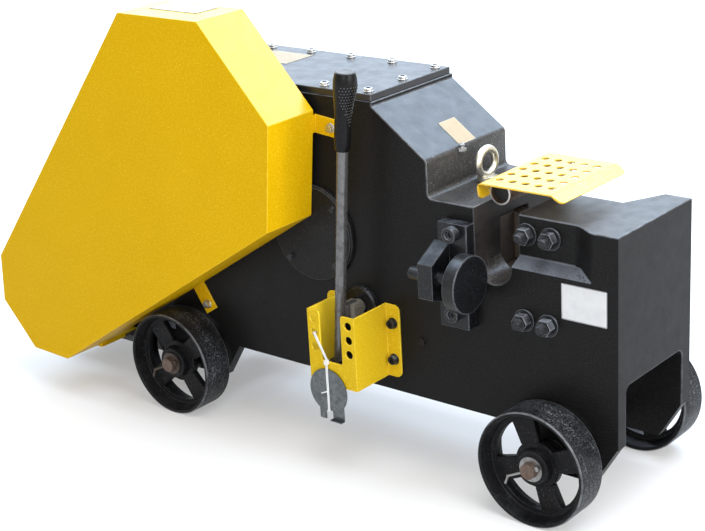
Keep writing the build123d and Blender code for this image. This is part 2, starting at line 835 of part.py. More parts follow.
def blade_screw_hole():
    """Room for the moving blade's screw, with its sunk head."""
    x, z = blade_screw_place()
    top = blade_gap + blade_w
    hole = rod_y(x, z, blade_screw_r + press_gap, top - blade_screw_len, top)
    return hole + rod_y(x, z, blade_screw_head_r + press_gap, top - blade_screw_head_h, top)


def make_moving_blade():
    """Moving blade with bevelled cutting edges and a sunk screw hole."""
    low = ram_bottom_z + (ram_h - moving_blade_h) / 2
    face_x = moving_blade_face_x
    blade = block(face_x - moving_blade_len, face_x, 0, blade_gap + blade_w, low, low + moving_blade_h)
    blade -= block(throat_left_x, face_x, 0, blade_gap, low, low + moving_blade_h)
    edges = blade.edges().filter_by(Axis.Y).group_by(Axis.X)[-1]
    return chamfer(edges, blade_edge) - blade_screw_hole()


def make_blade_screw():
    """Socket screw of the moving blade."""
    x, z = blade_screw_place()
    top = blade_gap + blade_w
    screw = rod_y(x, z, blade_screw_r, top - blade_screw_len, top)
    screw += rod_y(x, z, blade_screw_head_r, top - blade_screw_head_h, top)
    socket = hex_y(x, z, blade_screw_r * 1.5, top - blade_screw_head_h / 2, top)
    return screw - socket


def fixed_blade_top():
    """Height of the fixed blade's top, below the upper stud."""
    return min(ram_bottom_z - sliding_gap + blade_h, upper_stud_z - stud_r - running_gap)


def make_fixed_blade():
    """Fixed blade in its pocket in the jaw, put in from the throat."""
    low = ram_bottom_z - sliding_gap
    x_end = fixed_blade_face_x + fixed_blade_len - press_gap
    blade = block(fixed_blade_face_x, x_end, -blade_gap - blade_w, -blade_gap, low, fixed_blade_top())
    edges = blade.edges().filter_by(Axis.Y).group_by(Axis.X)[0]
    return chamfer(edges, blade_edge)


def mesh_angles():
    """Angles in degrees from the input shaft to the idler and from the idler to the crank."""
    first = degrees(atan2(idler_z - input_z, idler_x - input_x))
    second = degrees(atan2(crank_z - idler_z, crank_x - idler_x))
    return first, second


def make_input_shaft():
    """Flywheel shaft with its pinion, one tooth on the line to the idler."""
    first, _ = mesh_angles()
    shaft = rod_y(input_x, input_z, shaft_r, pulley_front_y, back_y - side_gap)
    y_from = gear_back_y - gear_w - pinion_extra_w
    pinion = toothed_wheel(
        input_x, input_z, pinion_teeth, input_module, first, y_from, gear_back_y + pinion_extra_w)
    return shaft + pinion


def make_idler_shaft():
    """Intermediate shaft with its output pinion."""
    _, second = mesh_angles()
    shaft = rod_y(idler_x, idler_z, shaft_r, front_y + side_gap, back_y - side_gap)
    pinion = toothed_wheel(
        idler_x, idler_z, pinion_teeth, output_module, second, gear_front_y - pinion_extra_w,
        gear_front_y + gear_w + pinion_extra_w)
    return shaft + pinion


def make_idler_gear():
    """Large gear on the intermediate shaft, a gap facing the input pinion."""
    first, _ = mesh_angles()
    gap_deg = first + 180 + 180 / wheel_teeth
    return webbed_wheel(
        idler_x, idler_z, input_module, gap_deg, gear_back_y - gear_w, gear_back_y, idler_hub_r,
        shaft_r + press_gap)


def make_clutch_gear():
    """Large gear that runs free on the crankshaft until the clutch takes it up."""
    _, second = mesh_angles()
    gap_deg = second + 180 + 180 / wheel_teeth
    return webbed_wheel(
        crank_x, crank_z, output_module, gap_deg, gear_front_y, gear_front_y + gear_w, gear_hub_r,
        crank_journal_r + running_gap)


def make_bushes():
    """Bronze bushes in the body's walls: two for the crankshaft and four for the gear shafts."""
    crank, shafts = [], []
    for y_from, y_to in ((front_y, -inner_half_w), (inner_half_w, back_y)):
        bush = rod_y(crank_x, crank_z, crank_bush_r, y_from, y_to)
        crank.append(bush - rod_y(crank_x, crank_z, crank_journal_r + running_gap, y_from, y_to))
        for x, z in ((input_x, input_z), (idler_x, idler_z)):
            bush = rod_y(x, z, shaft_bush_r, y_from, y_to)
            shafts.append(bush - rod_y(x, z, shaft_r + running_gap, y_from, y_to))
    return crank, shafts


def round_cap(x, z, radius, thickness, wall_y, side):
    """Round bearing cap with a bevelled rim on one wall."""
    face = wall_y + side * thickness
    rim = wall_y + side * (thickness - cap_edge)
    return turned_y(x, z, (0, wall_y), (radius, wall_y), (radius, rim), (radius - cap_edge, face), (0, face))


def make_caps():
    """Bearing caps on both walls and their bolt heads."""
    crank_caps, shaft_caps, bolts = [], [], []
    for wall_y, side in ((front_y, -1), (back_y, 1)):
        crank_caps.append(round_cap(crank_x, crank_z, crank_cap_r, crank_cap_t, wall_y, side))
        face = wall_y + side * crank_cap_t
        for x, z in circle_points(crank_x, crank_z, crank_cap_bolt_r, 4, 45):
            bolts.append(rod_y(x, z, cap_bolt_r, face, face + side * cap_bolt_h))
        for x, z in ((input_x, input_z), (idler_x, idler_z)):
            cap = round_cap(x, z, shaft_cap_r, shaft_cap_t, wall_y, side)
            face = wall_y + side * shaft_cap_t
            if side < 0 and z == input_z:
                cap -= rod_y(x, z, shaft_r + side_gap, wall_y, face)
            shaft_caps.append(cap)
            for bolt_x, bolt_z in circle_points(x, z, shaft_cap_bolt_r, 4, 45):
                bolts.append(rod_y(bolt_x, bolt_z, cap_bolt_r, face, face + side * cap_bolt_h))
    return crank_caps, shaft_caps, bolts


def groove_middles():
    """Y of each belt groove's middle."""
    return [pulley_front_y + groove_edge + i * groove_pitch for i in range(belt_count)]


def pulley_rim(radius):
    """Radius and Y points of a grooved rim, from its front edge to its back edge."""
    points = [(radius, pulley_front_y)]
    for y in groove_middles():
        points += [
            (radius, y - groove_top_w / 2), (radius - groove_depth, y - groove_bottom_w / 2),
            (radius - groove_depth, y + groove_bottom_w / 2), (radius, y + groove_top_w / 2)]
    return points + [(radius, pulley_back_y)]


def make_flywheel():
    """Grooved flywheel with a web, round openings and a hub."""
    rim_inner = flywheel_r - flywheel_rim_t
    middle = (pulley_front_y + pulley_back_y) / 2
    web_front = middle - flywheel_web_t / 2
    web_back = middle + flywheel_web_t / 2
    bore = shaft_r + press_gap
    points = pulley_rim(flywheel_r) + [
        (rim_inner, pulley_back_y), (rim_inner, web_back), (flywheel_hub_r, web_back),
        (flywheel_hub_r, pulley_back_y), (bore, pulley_back_y), (bore, pulley_front_y),
        (flywheel_hub_r, pulley_front_y), (flywheel_hub_r, web_front), (rim_inner, web_front),
        (rim_inner, pulley_front_y)]
    wheel = turned_y(input_x, input_z, *points)
    hole_circle = (rim_inner + flywheel_hub_r) / 2
    for x, z in circle_points(input_x, input_z, hole_circle, flywheel_hole_count, 90):
        wheel -= rod_y(x, z, flywheel_hole_r, web_front, web_back)
    return wheel


def make_motor_pulley():
    """Small grooved pulley on the motor shaft."""
    bore = motor_shaft_r + press_gap
    points = pulley_rim(motor_pulley_r) + [(bore, pulley_back_y), (bore, pulley_front_y)]
    return turned_y(motor_x, motor_z, *points)


def make_belts():
    """Wedge belts, each a closed loop lying in its groove of both pulleys."""
    slope = (groove_top_w - groove_bottom_w) / 2 / groove_depth
    top_half = groove_top_w / 2 - belt_side_gap
    low_half = top_half - slope * belt_h
    belts = []
    for y in groove_middles():
        outer = side_slab(belt_path(0), y - top_half, y + top_half)
        outer -= side_slab(belt_path(belt_h), y - top_half, y + top_half)
        taper = degrees(atan2(top_half - low_half, belt_h))
        for way in (-1, 1):
            plane = Plane(origin=(0, y + way * low_half, 0), x_dir=(1, 0, 0), z_dir=(0, way, 0))
            face = belt_path(belt_h)
            if way > 0:
                face = mirror(face, Plane.XZ)
            core = extrude(plane * face, amount=top_half - low_half, taper=taper - 90)
            outer -= core
        belts.append(outer)
    return belts


def make_guard():
    """Sheet guard over the belt drive, open to the body, with its fixing tabs."""
    guard = side_slab(guard_outline(0), guard_front_y, guard_back_y)
    guard -= side_slab(guard_outline(guard_t), guard_front_y + guard_t, guard_back_y)
    for slant_deg, edge_reach, along, reach in guard_tabs():
        sheet_in = -guard_t / 2
        leg = block(sheet_in - tab_t, sheet_in, guard_back_y - tab_w, front_y, -tab_w / 2, tab_w / 2)
        leaf = block(sheet_in - tab_t, reach, front_y - tab_t, front_y, -tab_w / 2, tab_w / 2)
        guard += guard_edge_frame(slant_deg, edge_reach, along) * (leg + leaf)
    left, right = rear_tab_x - tab_w / 2, rear_tab_x + tab_w / 2
    base_edge = front_y + ear_t
    leg = block(left, right, guard_back_y - tab_w, base_edge, base_top_z - 2 * tab_t, base_top_z + tab_t)
    leaf = block(left, right, base_edge, base_edge + tab_w, base_top_z, base_top_z + tab_t)
    return guard + leg + leaf


def guard_tabs():
    """Turn and reach of the guard's flat edge, place along it and reach of each of the two wall tabs."""
    return (
        (guard_slant_deg, guard_slant_reach, upper_tab_along, upper_tab_reach),
        (guard_side_deg, guard_side_reach, lower_tab_along, lower_tab_reach))


def guard_edge_frame(slant_deg, edge_reach, along):
    """Place on a flat edge of the guard, with its X axis square to the edge and outwards."""
    axis_deg = degrees(atan2(input_z - motor_z, input_x - motor_x))
    return Pos(input_x, 0, input_z) * Rot(0, slant_deg - axis_deg, 0) * Pos(edge_reach, 0, along)


def make_guard_bolts():
    """Bolt heads on the guard's three tabs."""
    face = front_y - tab_t
    bolts = [
        guard_edge_frame(slant_deg, edge_reach, along)
        * rod_y(reach - tab_bolt_edge, 0, bracket_bolt_r, face - bracket_bolt_h, face)
        for slant_deg, edge_reach, along, reach in guard_tabs()]
    top = base_top_z + tab_t
    bolts.append(rod_z(rear_tab_x, front_y + ear_t + tab_w / 2, bracket_bolt_r, top, top + bracket_bolt_h))
    return bolts


def motor_cylinder(radius, y_from, y_to):
    """Round bar about the motor's axis."""
    return rod_y(motor_x, motor_z, radius, y_from, y_to)


def make_motor_frame():
    """Finned motor frame with two feet."""
    frame = motor_cylinder(motor_frame_r, motor_frame_y, motor_frame_end)
    for i in range(fin_count):
        angle = 360 * (i + 0.5) / fin_count
        fin = Pos(motor_frame_r + fin_h / 2 - 1, 0, 0) * Box(fin_h + 2, motor_frame_len, fin_t)
        place = Pos(motor_x, (motor_frame_y + motor_frame_end) / 2, motor_z)
        if abs(sin(radians(angle))) < 0.62:
            frame += place * Rot(0, -angle, 0) * fin
    foot_y = (motor_frame_y + motor_frame_end) / 2
    for side in (-1, 1):
        pad_x = motor_x + side * foot_span_x / 2
        pad_half = foot_pad_w / 2
        y_from, y_to = foot_y - foot_span_y / 2 - pad_half / 2, foot_y + foot_span_y / 2 + pad_half / 2
        frame += block(pad_x - pad_half, pad_x + pad_half, y_from, y_to, base_top_z, base_top_z + foot_pad_t)
        web_x = motor_x + side * (foot_span_x / 2 - pad_half)
        web_half = foot_web_t / 2
        frame += block(web_x - web_half, web_x + web_half, y_from, y_to, base_top_z, motor_z)
    frame -= motor_cylinder(motor_bore_r, motor_frame_y, motor_frame_end)
    for x, y in motor_bolt_places():
        frame -= rod_z(x, y, motor_bolt_r + press_gap, base_top_z, base_top_z + foot_pad_t)
    box_half = terminal_w / 2
    seat_z = motor_z + motor_frame_r + fin_h
    seat = block(motor_x - box_half, motor_x + box_half, foot_y - box_half, foot_y + box_half, motor_z, seat_z)
    return frame + (seat - motor_cylinder(motor_frame_r - 1, motor_frame_y, motor_frame_end))


def motor_bolt_places():
    """X and Y of the four foot bolts."""
    foot_y = (motor_frame_y + motor_frame_end) / 2
    return [
        (motor_x + i * foot_span_x / 2, foot_y + j * foot_span_y / 2) for i in (-1, 1) for j in (-1, 1)]


def make_motor_shields():
    """Two end shields with a raised middle round the shaft."""
    shields = []
    for y_seat, side in ((motor_frame_y, -1), (motor_frame_end, 1)):
        y_end = y_seat + side * shield_t
        rim = y_seat + side * shield_t / 2
        bore = motor_shaft_r + running_gap
        shields.append(turned_y(
            motor_x, motor_z, (bore, y_seat), (shield_r, y_seat), (shield_r, rim), (shield_r / 2, y_end),
            (bore, y_end)))
    return shields


def make_fan_cover():
    """Pressed fan cover with air slots in its end."""
    y_from = motor_frame_end + shield_t / 2
    y_to = fan_cover_end
    edge = 8.0
    inner = shield_r + press_gap
    outer = inner + fan_cover_t
    cover = turned_y(
        motor_x, motor_z, (inner, y_from), (outer, y_from), (outer, y_to - edge), (outer - edge, y_to), (0, y_to),
        (0, y_to - fan_cover_t), (inner - edge, y_to - fan_cover_t), (inner, y_to - edge))
    for x, z in circle_points(motor_x, motor_z, shield_r * 0.55, 8):
        angle = degrees(atan2(z - motor_z, x - motor_x))
        slot = Pos(x, y_to, z) * Rot(0, -angle, 0) * Box(shield_r * 0.4, 4 * fan_cover_t, 9)
        cover -= slot
    return cover


def make_motor_fan():
    """Radial fan on the rear end of the motor shaft."""
    y_from = motor_frame_end + shield_t + 8
    y_to = y_from + fan_w
    fan = motor_cylinder(motor_shaft_r + 12, y_from, y_to)
    fan += motor_cylinder(fan_r, y_from, y_from + 3)
    for i in range(6):
        blade = Pos((fan_r + motor_shaft_r) / 2 + 4, 0, 0) * Box(fan_r - motor_shaft_r - 8, fan_w, 3)
        fan += Pos(motor_x, (y_from + y_to) / 2, motor_z) * Rot(0, 60 * i, 0) * blade
    return fan - motor_cylinder(motor_shaft_r + press_gap, y_from, y_to)


def make_motor_rotor():
    """Rotor and motor shaft in one piece."""
    fan_end = motor_frame_end + shield_t + fan_gap + fan_w
    rotor = motor_cylinder(motor_shaft_r, pulley_front_y, fan_end)
    return rotor + motor_cylinder(rotor_r, motor_frame_y + rotor_inset, motor_frame_end - rotor_inset)


def make_stator():
    """Stator core round the rotor."""
    y_from, y_to = motor_frame_y + stator_inset, motor_frame_end - stator_inset
    core = motor_cylinder(motor_bore_r - press_gap, y_from, y_to)
    return core - motor_cylinder(rotor_r + air_gap, y_from, y_to)


def make_terminal_box():
    """Hollow terminal box with a lid edge and a cable entry to the rear."""
    foot_y = (motor_frame_y + motor_frame_end) / 2
    half = terminal_w / 2
    low = motor_z + motor_frame_r + fin_h
    high = low + terminal_h
    wall = terminal_wall
    box = block(motor_x - half, motor_x + half, foot_y - half, foot_y + half, low, high)
    box += block(motor_x - half - 2, motor_x + half + 2, foot_y - half - 2, foot_y + half + 2, high - 8, high)
    box -= block(
        motor_x - half + wall, motor_x + half - wall, foot_y - half + wall, foot_y + half - wall, low + wall,
        high - wall)
    entry_z = (low + high) / 2 - 4
    return box - rod_x(foot_y, entry_z, cable_entry_r, motor_x - half, motor_x - half + wall)


def make_motor_base():
    """Rear base plate between the rear ears, with turned edges and slots for the motor bolts."""
    edge = body_half_w - ear_t
    plan = outline(
        (base_rear_x, -edge), (base_front_x, -edge), (base_front_x, edge), (base_wide_x, edge),
        (base_wide_x, base_back_y), (base_rear_x, base_back_y))
    low = base_top_z - base_t
    base = flat_slab(plan, low, base_top_z)
    flange_rear_x = rear_axle_x - ear_top_half_w
    for y in (-edge, edge - base_flange_t):
        base += block(flange_rear_x, base_front_x, y, y + base_flange_t, low, low + base_flange_h)
    base += block(base_rear_x, base_rear_x + base_flange_t, -edge, base_back_y, low - base_lip_h, low)
    base -= rod_y(rear_axle_x, axle_z, axle_r + 2 * side_gap, -edge, edge)
    for x, y in motor_bolt_places():
        half = base_slot_len / 2 - motor_bolt_r
        slot = block(x - half, x + half, y - motor_bolt_r - 0.5, y + motor_bolt_r + 0.5, low, base_top_z)
        for end in (-half, half):
            slot += rod_z(x + end, y, motor_bolt_r + 0.5, low, base_top_z)
        base -= slot
    return base


def make_motor_bolts():
    """Foot bolts with a head above the foot and a nut under the base."""
    bolts = []
    seat = base_top_z + foot_pad_t
    low = base_top_z - base_t
    hexagon = RegularPolygon(motor_bolt_r * 1.6, 6, major_radius=False)
    for x, y in motor_bolt_places():
        bolt = rod_z(x, y, motor_bolt_r, low - motor_bolt_head_h, seat)
        bolt += flat_slab(Pos(x, y) * hexagon, seat, seat + motor_bolt_head_h)
        bolt += flat_slab(Pos(x, y) * hexagon, low - motor_bolt_head_h, low)
        bolts.append(bolt)
    return bolts


def make_flap():
    """Perforated sheet over the throat, bent down at both ends and welded to its hinge tube."""
    top = flap_axis_z + flap_tube_r + flap_t - flap_weld
    lip_z = top - flap_lip_drop
    tuck_x = flap_axis_x - flap_tube_r - flap_t / 2
    tuck_z = flap_axis_z - flap_tube_r / 4
    upper = outline(
        (tuck_x, tuck_z), (flap_left_x, top), (flap_right_x, top), (flap_lip_x, lip_z),
        (flap_lip_x - flap_t, lip_z - flap_t), (flap_right_x - flap_t / 2, top - flap_t),
        (flap_left_x + 1.4 * flap_t, top - flap_t), (tuck_x + flap_t, tuck_z))
    upper = round_corners(upper, flap_bend_r, (flap_left_x, top), (flap_right_x, top))
    flap = side_slab(upper, -flap_half_w, flap_half_w)
    for side in (-1, 1):
        past = flap_half_w + flap_t
        trim = outline(
            (flap_right_x, side * past), (flap_lip_x + flap_t, side * past),
            (flap_lip_x + flap_t, side * (flap_half_w - flap_lip_trim)))
        flap -= flat_slab(trim, lip_z - 2 * flap_t, top + flap_t)
    holes = range(flap_hole_count)
    for i in holes:
        for j in holes:
            x = flap_hole_x + i * flap_hole_pitch_x
            y = (j - (flap_hole_count - 1) / 2) * flap_hole_pitch_y
            flap -= rod_z(x, y, flap_hole_r, top - flap_t, top)
    bore_r = flap_tube_r - flap_tube_wall
    flap += rod_y(flap_axis_x, flap_axis_z, flap_tube_r, flap_tube_front_y, flap_tube_back_y)
    return flap - rod_y(flap_axis_x, flap_axis_z, bore_r, -flap_half_w, flap_half_w)


def make_hinge():
    """Plate on the body's back wall with the pin that the guard's tube turns on."""
    right = throat_left_x - 2
    left = right - hinge_plate_w
    face = outline(
        (left, hinge_plate_bottom_z), (right, hinge_plate_bottom_z), (right, ledge_z),
        (flap_axis_x + hinge_eye_r, flap_axis_z - hinge_eye_r),
        (flap_axis_x + hinge_eye_r, flap_axis_z + hinge_eye_r),
        (flap_axis_x - hinge_eye_r, flap_axis_z + hinge_eye_r), (left, ledge_z))
    plate = side_slab(face, back_y, back_y + hinge_plate_t)
    pin_r = flap_tube_r - flap_tube_wall - running_gap
    return plate + rod_y(flap_axis_x, flap_axis_z, pin_r, hinge_pin_end_y, back_y)


def make_hinge_bolts():
    """Two bolt heads on the hinge plate."""
    x = throat_left_x - 2 - hinge_plate_w / 2
    face = back_y + hinge_plate_t
    rise = (ledge_z - hinge_plate_bottom_z) / 4
    return [
        rod_y(x, z, hinge_bolt_r, face, face + hinge_bolt_h)
        for z in (hinge_plate_bottom_z + rise, ledge_z - rise)]


def make_eye_bolt():
    """Lifting eye with its collar on the ledge."""
    ring = Pos(eye_x, eye_y, ledge_z + eye_rise) * Rot(0, 0, eye_turn_deg) * Rot(0, 90, 0)
    collar = rod_z(eye_x, eye_y, eye_collar_r, ledge_z, ledge_z + eye_collar_h)
    return ring * Torus(eye_ring_r, eye_wire_r) + collar


def make_nipple():
    """Grease fitting on the rounded edge between the slope and the step's face."""
    slope_deg = degrees(atan2(step_x - slope_top_x, slope_top_z - step_top_z))
    lift = (1 - cos(radians(slope_deg))) / sin(radians(slope_deg))
    round_x = step_x - slope_round_r
    round_z = step_top_z - slope_round_r * lift
    base = rod_x(0, 0, nipple_base_r, 0, slope_round_r + nipple_base_t)
    fitting = base + rod_x(0, 0, nipple_r, 0, slope_round_r + nipple_h)
    fitting = Pos(round_x, nipple_y, round_z) * Rot(0, -slope_deg / 2, 0) * fitting
    edge = rod_y(round_x, round_z, slope_round_r, nipple_y - nipple_h, nipple_y + nipple_h)
    return fitting - edge


def lever_frame():
    """Place of the lever: its origin at the pivot, its Z axis up the leaning rod."""
    return Pos(lever_pivot_x, lever_y, lever_pivot_z) * Rot(0, lever_lean_deg, 0)


def make_lever():
    """Clutch lever: a round rod with an eye at its foot and a slotted lug for the trip pin."""
    rod = lever_frame() * rod_z(0, 0, lever_r, 0, lever_len)
    half = lever_eye_w / 2
    eye = rod_x(lever_y, lever_pivot_z, lever_eye_r, lever_pivot_x - half, lever_pivot_x + half)
    slot_half_y = link_pin_r + lug_slot_gap
    lug_y = link_pin_y + slot_half_y + lug_edge
    lug_half_h = lug_slot_half_h + lug_edge
    lug = block(trip_x - lug_w / 2, trip_x + lug_w / 2, lever_y, lug_y, trip_z - lug_half_h, trip_z + lug_half_h)
    lug -= block(
        trip_x - lug_w, trip_x + lug_w, link_pin_y - slot_half_y, link_pin_y + slot_half_y,
        trip_z - lug_slot_half_h, trip_z + lug_slot_half_h)
    side_trim = lever_eye_r * 3
    hole = rod_x(
        lever_y, lever_pivot_z, pivot_pin_r + running_gap, lever_pivot_x - side_trim, lever_pivot_x + side_trim)
    below = rod_z(lever_pivot_x, lever_y, lever_eye_r * 2, lever_pivot_z - side_trim, lever_pivot_z - side_gap)
    cheeks = [
        block(lever_pivot_x + s * half, lever_pivot_x + s * side_trim, lever_y - side_trim, lever_y + side_trim,
              lever_pivot_z - side_trim, lever_pivot_z + lever_eye_r + side_gap) for s in (-1, 1)]
    return (rod - below - cheeks[0] - cheeks[1]) + eye + lug - hole


def make_grip():
    """Rubber grip with a waist, a bulge that leans forward and a flat top, sleeved over the rod."""
    high = lever_len + grip_cap
    sections = (
        (0.0, grip_end_r, 0.0), (0.1, grip_waist_r, 0.0), (0.4, grip_waist_r, 0.0),
        (0.8, grip_bulge_r, grip_bulge_x), (1.0, grip_top_r, grip_bulge_x))
    rings = [Pos(lean, 0, high - (1 - share) * grip_len) * Circle(radius) for share, radius, lean in sections]
    return lever_frame() * (loft(rings) - rod_z(0, 0, lever_r + press_gap, 0, lever_len + press_gap))


def make_lever_pivot():
    """Pivot bracket on the wall: a base, two cheeks and the pin between them."""
    half = lever_eye_w / 2 + side_gap
    outer = half + pivot_cheek_t
    tip_r = lever_eye_r
    left, right = lever_pivot_x - outer, lever_pivot_x + outer
    base = block(left - 6, right + 6, front_y - pivot_base_t, front_y, lever_pivot_z - tip_r - 4,
                 lever_pivot_z + tip_r + 4)
    for x_from, x_to in ((left, lever_pivot_x - half), (lever_pivot_x + half, right)):
        cheek = block(x_from, x_to, lever_y, front_y, lever_pivot_z - tip_r, lever_pivot_z + tip_r)
        base += cheek + rod_x(lever_y, lever_pivot_z, tip_r, x_from, x_to)
    return base + rod_x(lever_y, lever_pivot_z, pivot_pin_r, left - 3, right + 3)


def make_trip_pin():
    """Trip pin that slides through the wall, with a fork at its outer end."""
    pin = rod_y(trip_x, trip_z, trip_r, clevis_end_y, gear_front_y - trip_gap)
    pin += block(
        trip_x - trip_r, trip_x + trip_r, clevis_end_y, clevis_end_y + clevis_slot_depth, trip_z - trip_r,
        trip_z + trip_r)
    fork = block(
        trip_x - clevis_slot_w / 2, trip_x + clevis_slot_w / 2, clevis_end_y, clevis_end_y + clevis_slot_depth,
        trip_z - 2 * trip_r, trip_z + 2 * trip_r)
    return pin - fork - rod_x(link_pin_y, trip_z, link_pin_r + press_gap, trip_x - trip_r, trip_x + trip_r)


def make_link_pin():
    """Cross pin held in the fork."""
    return rod_x(link_pin_y, trip_z, link_pin_r, trip_x - trip_r, trip_x + trip_r)


def make_trip_flange():
    """Round guide flange on the wall round the trip pin."""
    flange = round_cap(trip_x, trip_z, trip_flange_r, trip_flange_t, front_y, -1)
    return flange - rod_y(trip_x, trip_z, trip_r + running_gap, front_y - trip_flange_t, front_y)


def make_bracket():
    """Bent sheet bracket round the lever's foot, with an open slot and two rows of holes."""
    left, right, t = bracket_left_x, bracket_right_x, bracket_t
    low, high = bracket_bottom_z, bracket_top_z
    face = outline(
        (left, low), (right, low), (right, high), (slot_right_x, high), (slot_right_x, slot_bottom_z),
        (slot_left_x, slot_bottom_z), (slot_left_x, high), (left, high))
    face = round_corners(face, strip_corner_r, (slot_left_x, high), (slot_right_x, high))
    face = round_corners(face, strip_corner_r, (slot_left_x, slot_bottom_z), (slot_right_x, slot_bottom_z))
    bracket = side_slab(face, bracket_front_y, bracket_front_y + t)
    for x in (left, right - t):
        bracket += block(x, x + t, bracket_front_y, front_y, low, high)
    for x_from, x_to in ((left - bracket_flange_w, left + t), (right - t, right + bracket_flange_w)):
        outer = x_from if x_from < left else x_to
        face = outline((x_from, low), (x_to, low), (x_to, high), (x_from, high))
        face = round_corners(face, bracket_corner_r, (outer, low), (outer, high))
        bracket += side_slab(face, front_y - t, front_y)
    for x in (left + bracket_hole_edge, right - bracket_hole_edge):
        for i in range(3):
            z = bracket_hole_top_z - i * bracket_hole_pitch
            bracket -= rod_y(x, z, bracket_hole_r, bracket_front_y, bracket_front_y + t)
    return bracket


def make_bracket_bolts():
    """Four bolt heads on the bracket's flanges."""
    inset = bracket_flange_w / 2
    rise = (bracket_top_z - bracket_bottom_z) / 4
    face = front_y - bracket_t
    return [
        rod_y(x, z, bracket_bolt_r, face - bracket_bolt_h, face)
        for x in (bracket_left_x - inset, bracket_right_x + inset)
        for z in (bracket_bottom_z + rise, bracket_top_z - rise)]


def make_stop_bracket():
    """Bar stop's wall plate with its sloping arm, bored for the spindle."""
    outer = front_y - stop_plate_t
    plate = block(stop_plate_left_x, stop_plate_right_x, outer, front_y, stop_plate_bottom_z, stop_plate_top_z)
    tip = outer - stop_arm_reach
    arm = outline(
        (outer, stop_axis_z + stop_arm_root_up),
        (outer - stop_arm_shoulder_out, stop_axis_z + stop_arm_shoulder_up),
        (tip, stop_axis_z + stop_arm_tip_up), (tip, stop_axis_z - stop_arm_tip_down),
        (outer, stop_axis_z - stop_arm_root_down))
    plate += end_slab(arm, stop_arm_left_x, stop_arm_left_x + stop_arm_w)
    for z in (stop_screw_z, stop_screw_z - stop_screw_drop):
        plate -= rod_y(stop_screw_x, z, stop_screw_shank_r + press_gap, outer, front_y)
    return plate - rod_x(
        stop_y, stop_axis_z, spindle_r + sliding_gap, stop_arm_left_x, stop_arm_left_x + stop_arm_w)


def make_stop_screws():
    """Two socket screws that hold the bar stop to the body."""
    outer = front_y - stop_plate_t
    screws = []
    for z in (stop_screw_z, stop_screw_z - stop_screw_drop):
        screw = rod_y(stop_screw_x, z, stop_screw_r, outer - stop_screw_h, outer)
        screw += rod_y(stop_screw_x, z, stop_screw_shank_r, outer, front_y + stop_screw_depth)
        socket = hex_y(stop_screw_x, z, stop_screw_r, outer - stop_screw_h, outer - stop_screw_h / 2)
        screws.append(screw - socket)
    return screws


def make_stop_spindle():
    """Adjusting spindle with the stop disc on its end."""
    disc_back = stop_face_x - stop_disc_t
    spindle = rod_x(stop_y, stop_axis_z, spindle_r, spindle_left_x, disc_back)
    return spindle + rod_x(stop_y, stop_axis_z, stop_disc_r, disc_back, stop_face_x)


def make_spare_plate():
    """Round sheet plate with a tab and a forked lug at its foot."""
    plate_y = bracket_front_y - tie_t
    y_from, y_to = plate_y - spare_plate_t, plate_y
    plate = rod_y(spare_plate_x, spare_plate_z, spare_plate_r, y_from, y_to)
    foot = spare_plate_z - spare_plate_r - spare_leg_drop
    left, right = spare_plate_x - spare_notch_w / 2, spare_plate_x + spare_notch_w / 2
    hook_top = foot + 2 * spare_hook_t
    plate += block(left - spare_left_leg_w, left, y_from, y_to, foot, spare_plate_z)
    plate += block(right, right + spare_right_leg_w, y_from, y_to, foot + spare_hook_t, spare_plate_z)
    plate += block(
        right, right + spare_right_leg_w, y_from - spare_hook_reach, y_to, foot + spare_hook_t, hook_top)
    return plate - block(left, right, y_from, y_to, foot, foot + spare_notch_h)


def make_tie():
    """Cable tie from the bracket's hole down over the spare plate, closed behind both."""
    hole_x = bracket_left_x + bracket_hole_edge
    hole_z = bracket_hole_top_z - bracket_hole_pitch
    knot_x, knot_z = spare_plate_x, slot_bottom_z
    plate_front = bracket_front_y - tie_t - spare_plate_t
    slant = hypot(knot_x - hole_x, knot_z - hole_z)
    angle = degrees(atan2(knot_z - hole_z, knot_x - hole_x))
    strap = Pos((hole_x + knot_x) / 2, bracket_front_y - tie_t / 2, (hole_z + knot_z) / 2)
    tie = strap * Rot(0, -angle, 0) * Box(slant, tie_t, tie_w)
    stub = bracket_front_y + bracket_t + tie_t
    half = tie_w / 2
    tie += block(
        hole_x - half, hole_x + half, bracket_front_y - tie_t, stub, hole_z - tie_t / 2, hole_z + tie_t / 2)
    tie += block(
        knot_x - tie_head_w / 2, knot_x + tie_head_w / 2, plate_front - tie_head_t, bracket_front_y,
        knot_z - tie_head_h / 2, knot_z + tie_head_h / 2)
    tail = Pos(knot_x, plate_front - tie_t, spare_plate_z) * Rot(0, -tie_tail_deg, 0)
    tie += tail * Pos(-tie_tail_len / 2, 0, 0) * Box(tie_tail_len, tie_t, tie_w / 2)
    low = spare_plate_z - spare_plate_r + tie_margin
    tie += block(knot_x - half, knot_x + half, plate_front - tie_t, plate_front, low - tie_t, knot_z)
    tie += block(knot_x - half, knot_x + half, plate_front, bracket_front_y, low - tie_t, low)
    return tie


studs, jaw_nuts, jaw_washers = make_jaw_fixings()
axles, wheel_washers, cotters = make_axles()
crank_bushes, shaft_bushes = make_bushes()
crank_caps, shaft_caps, cap_bolts = make_caps()

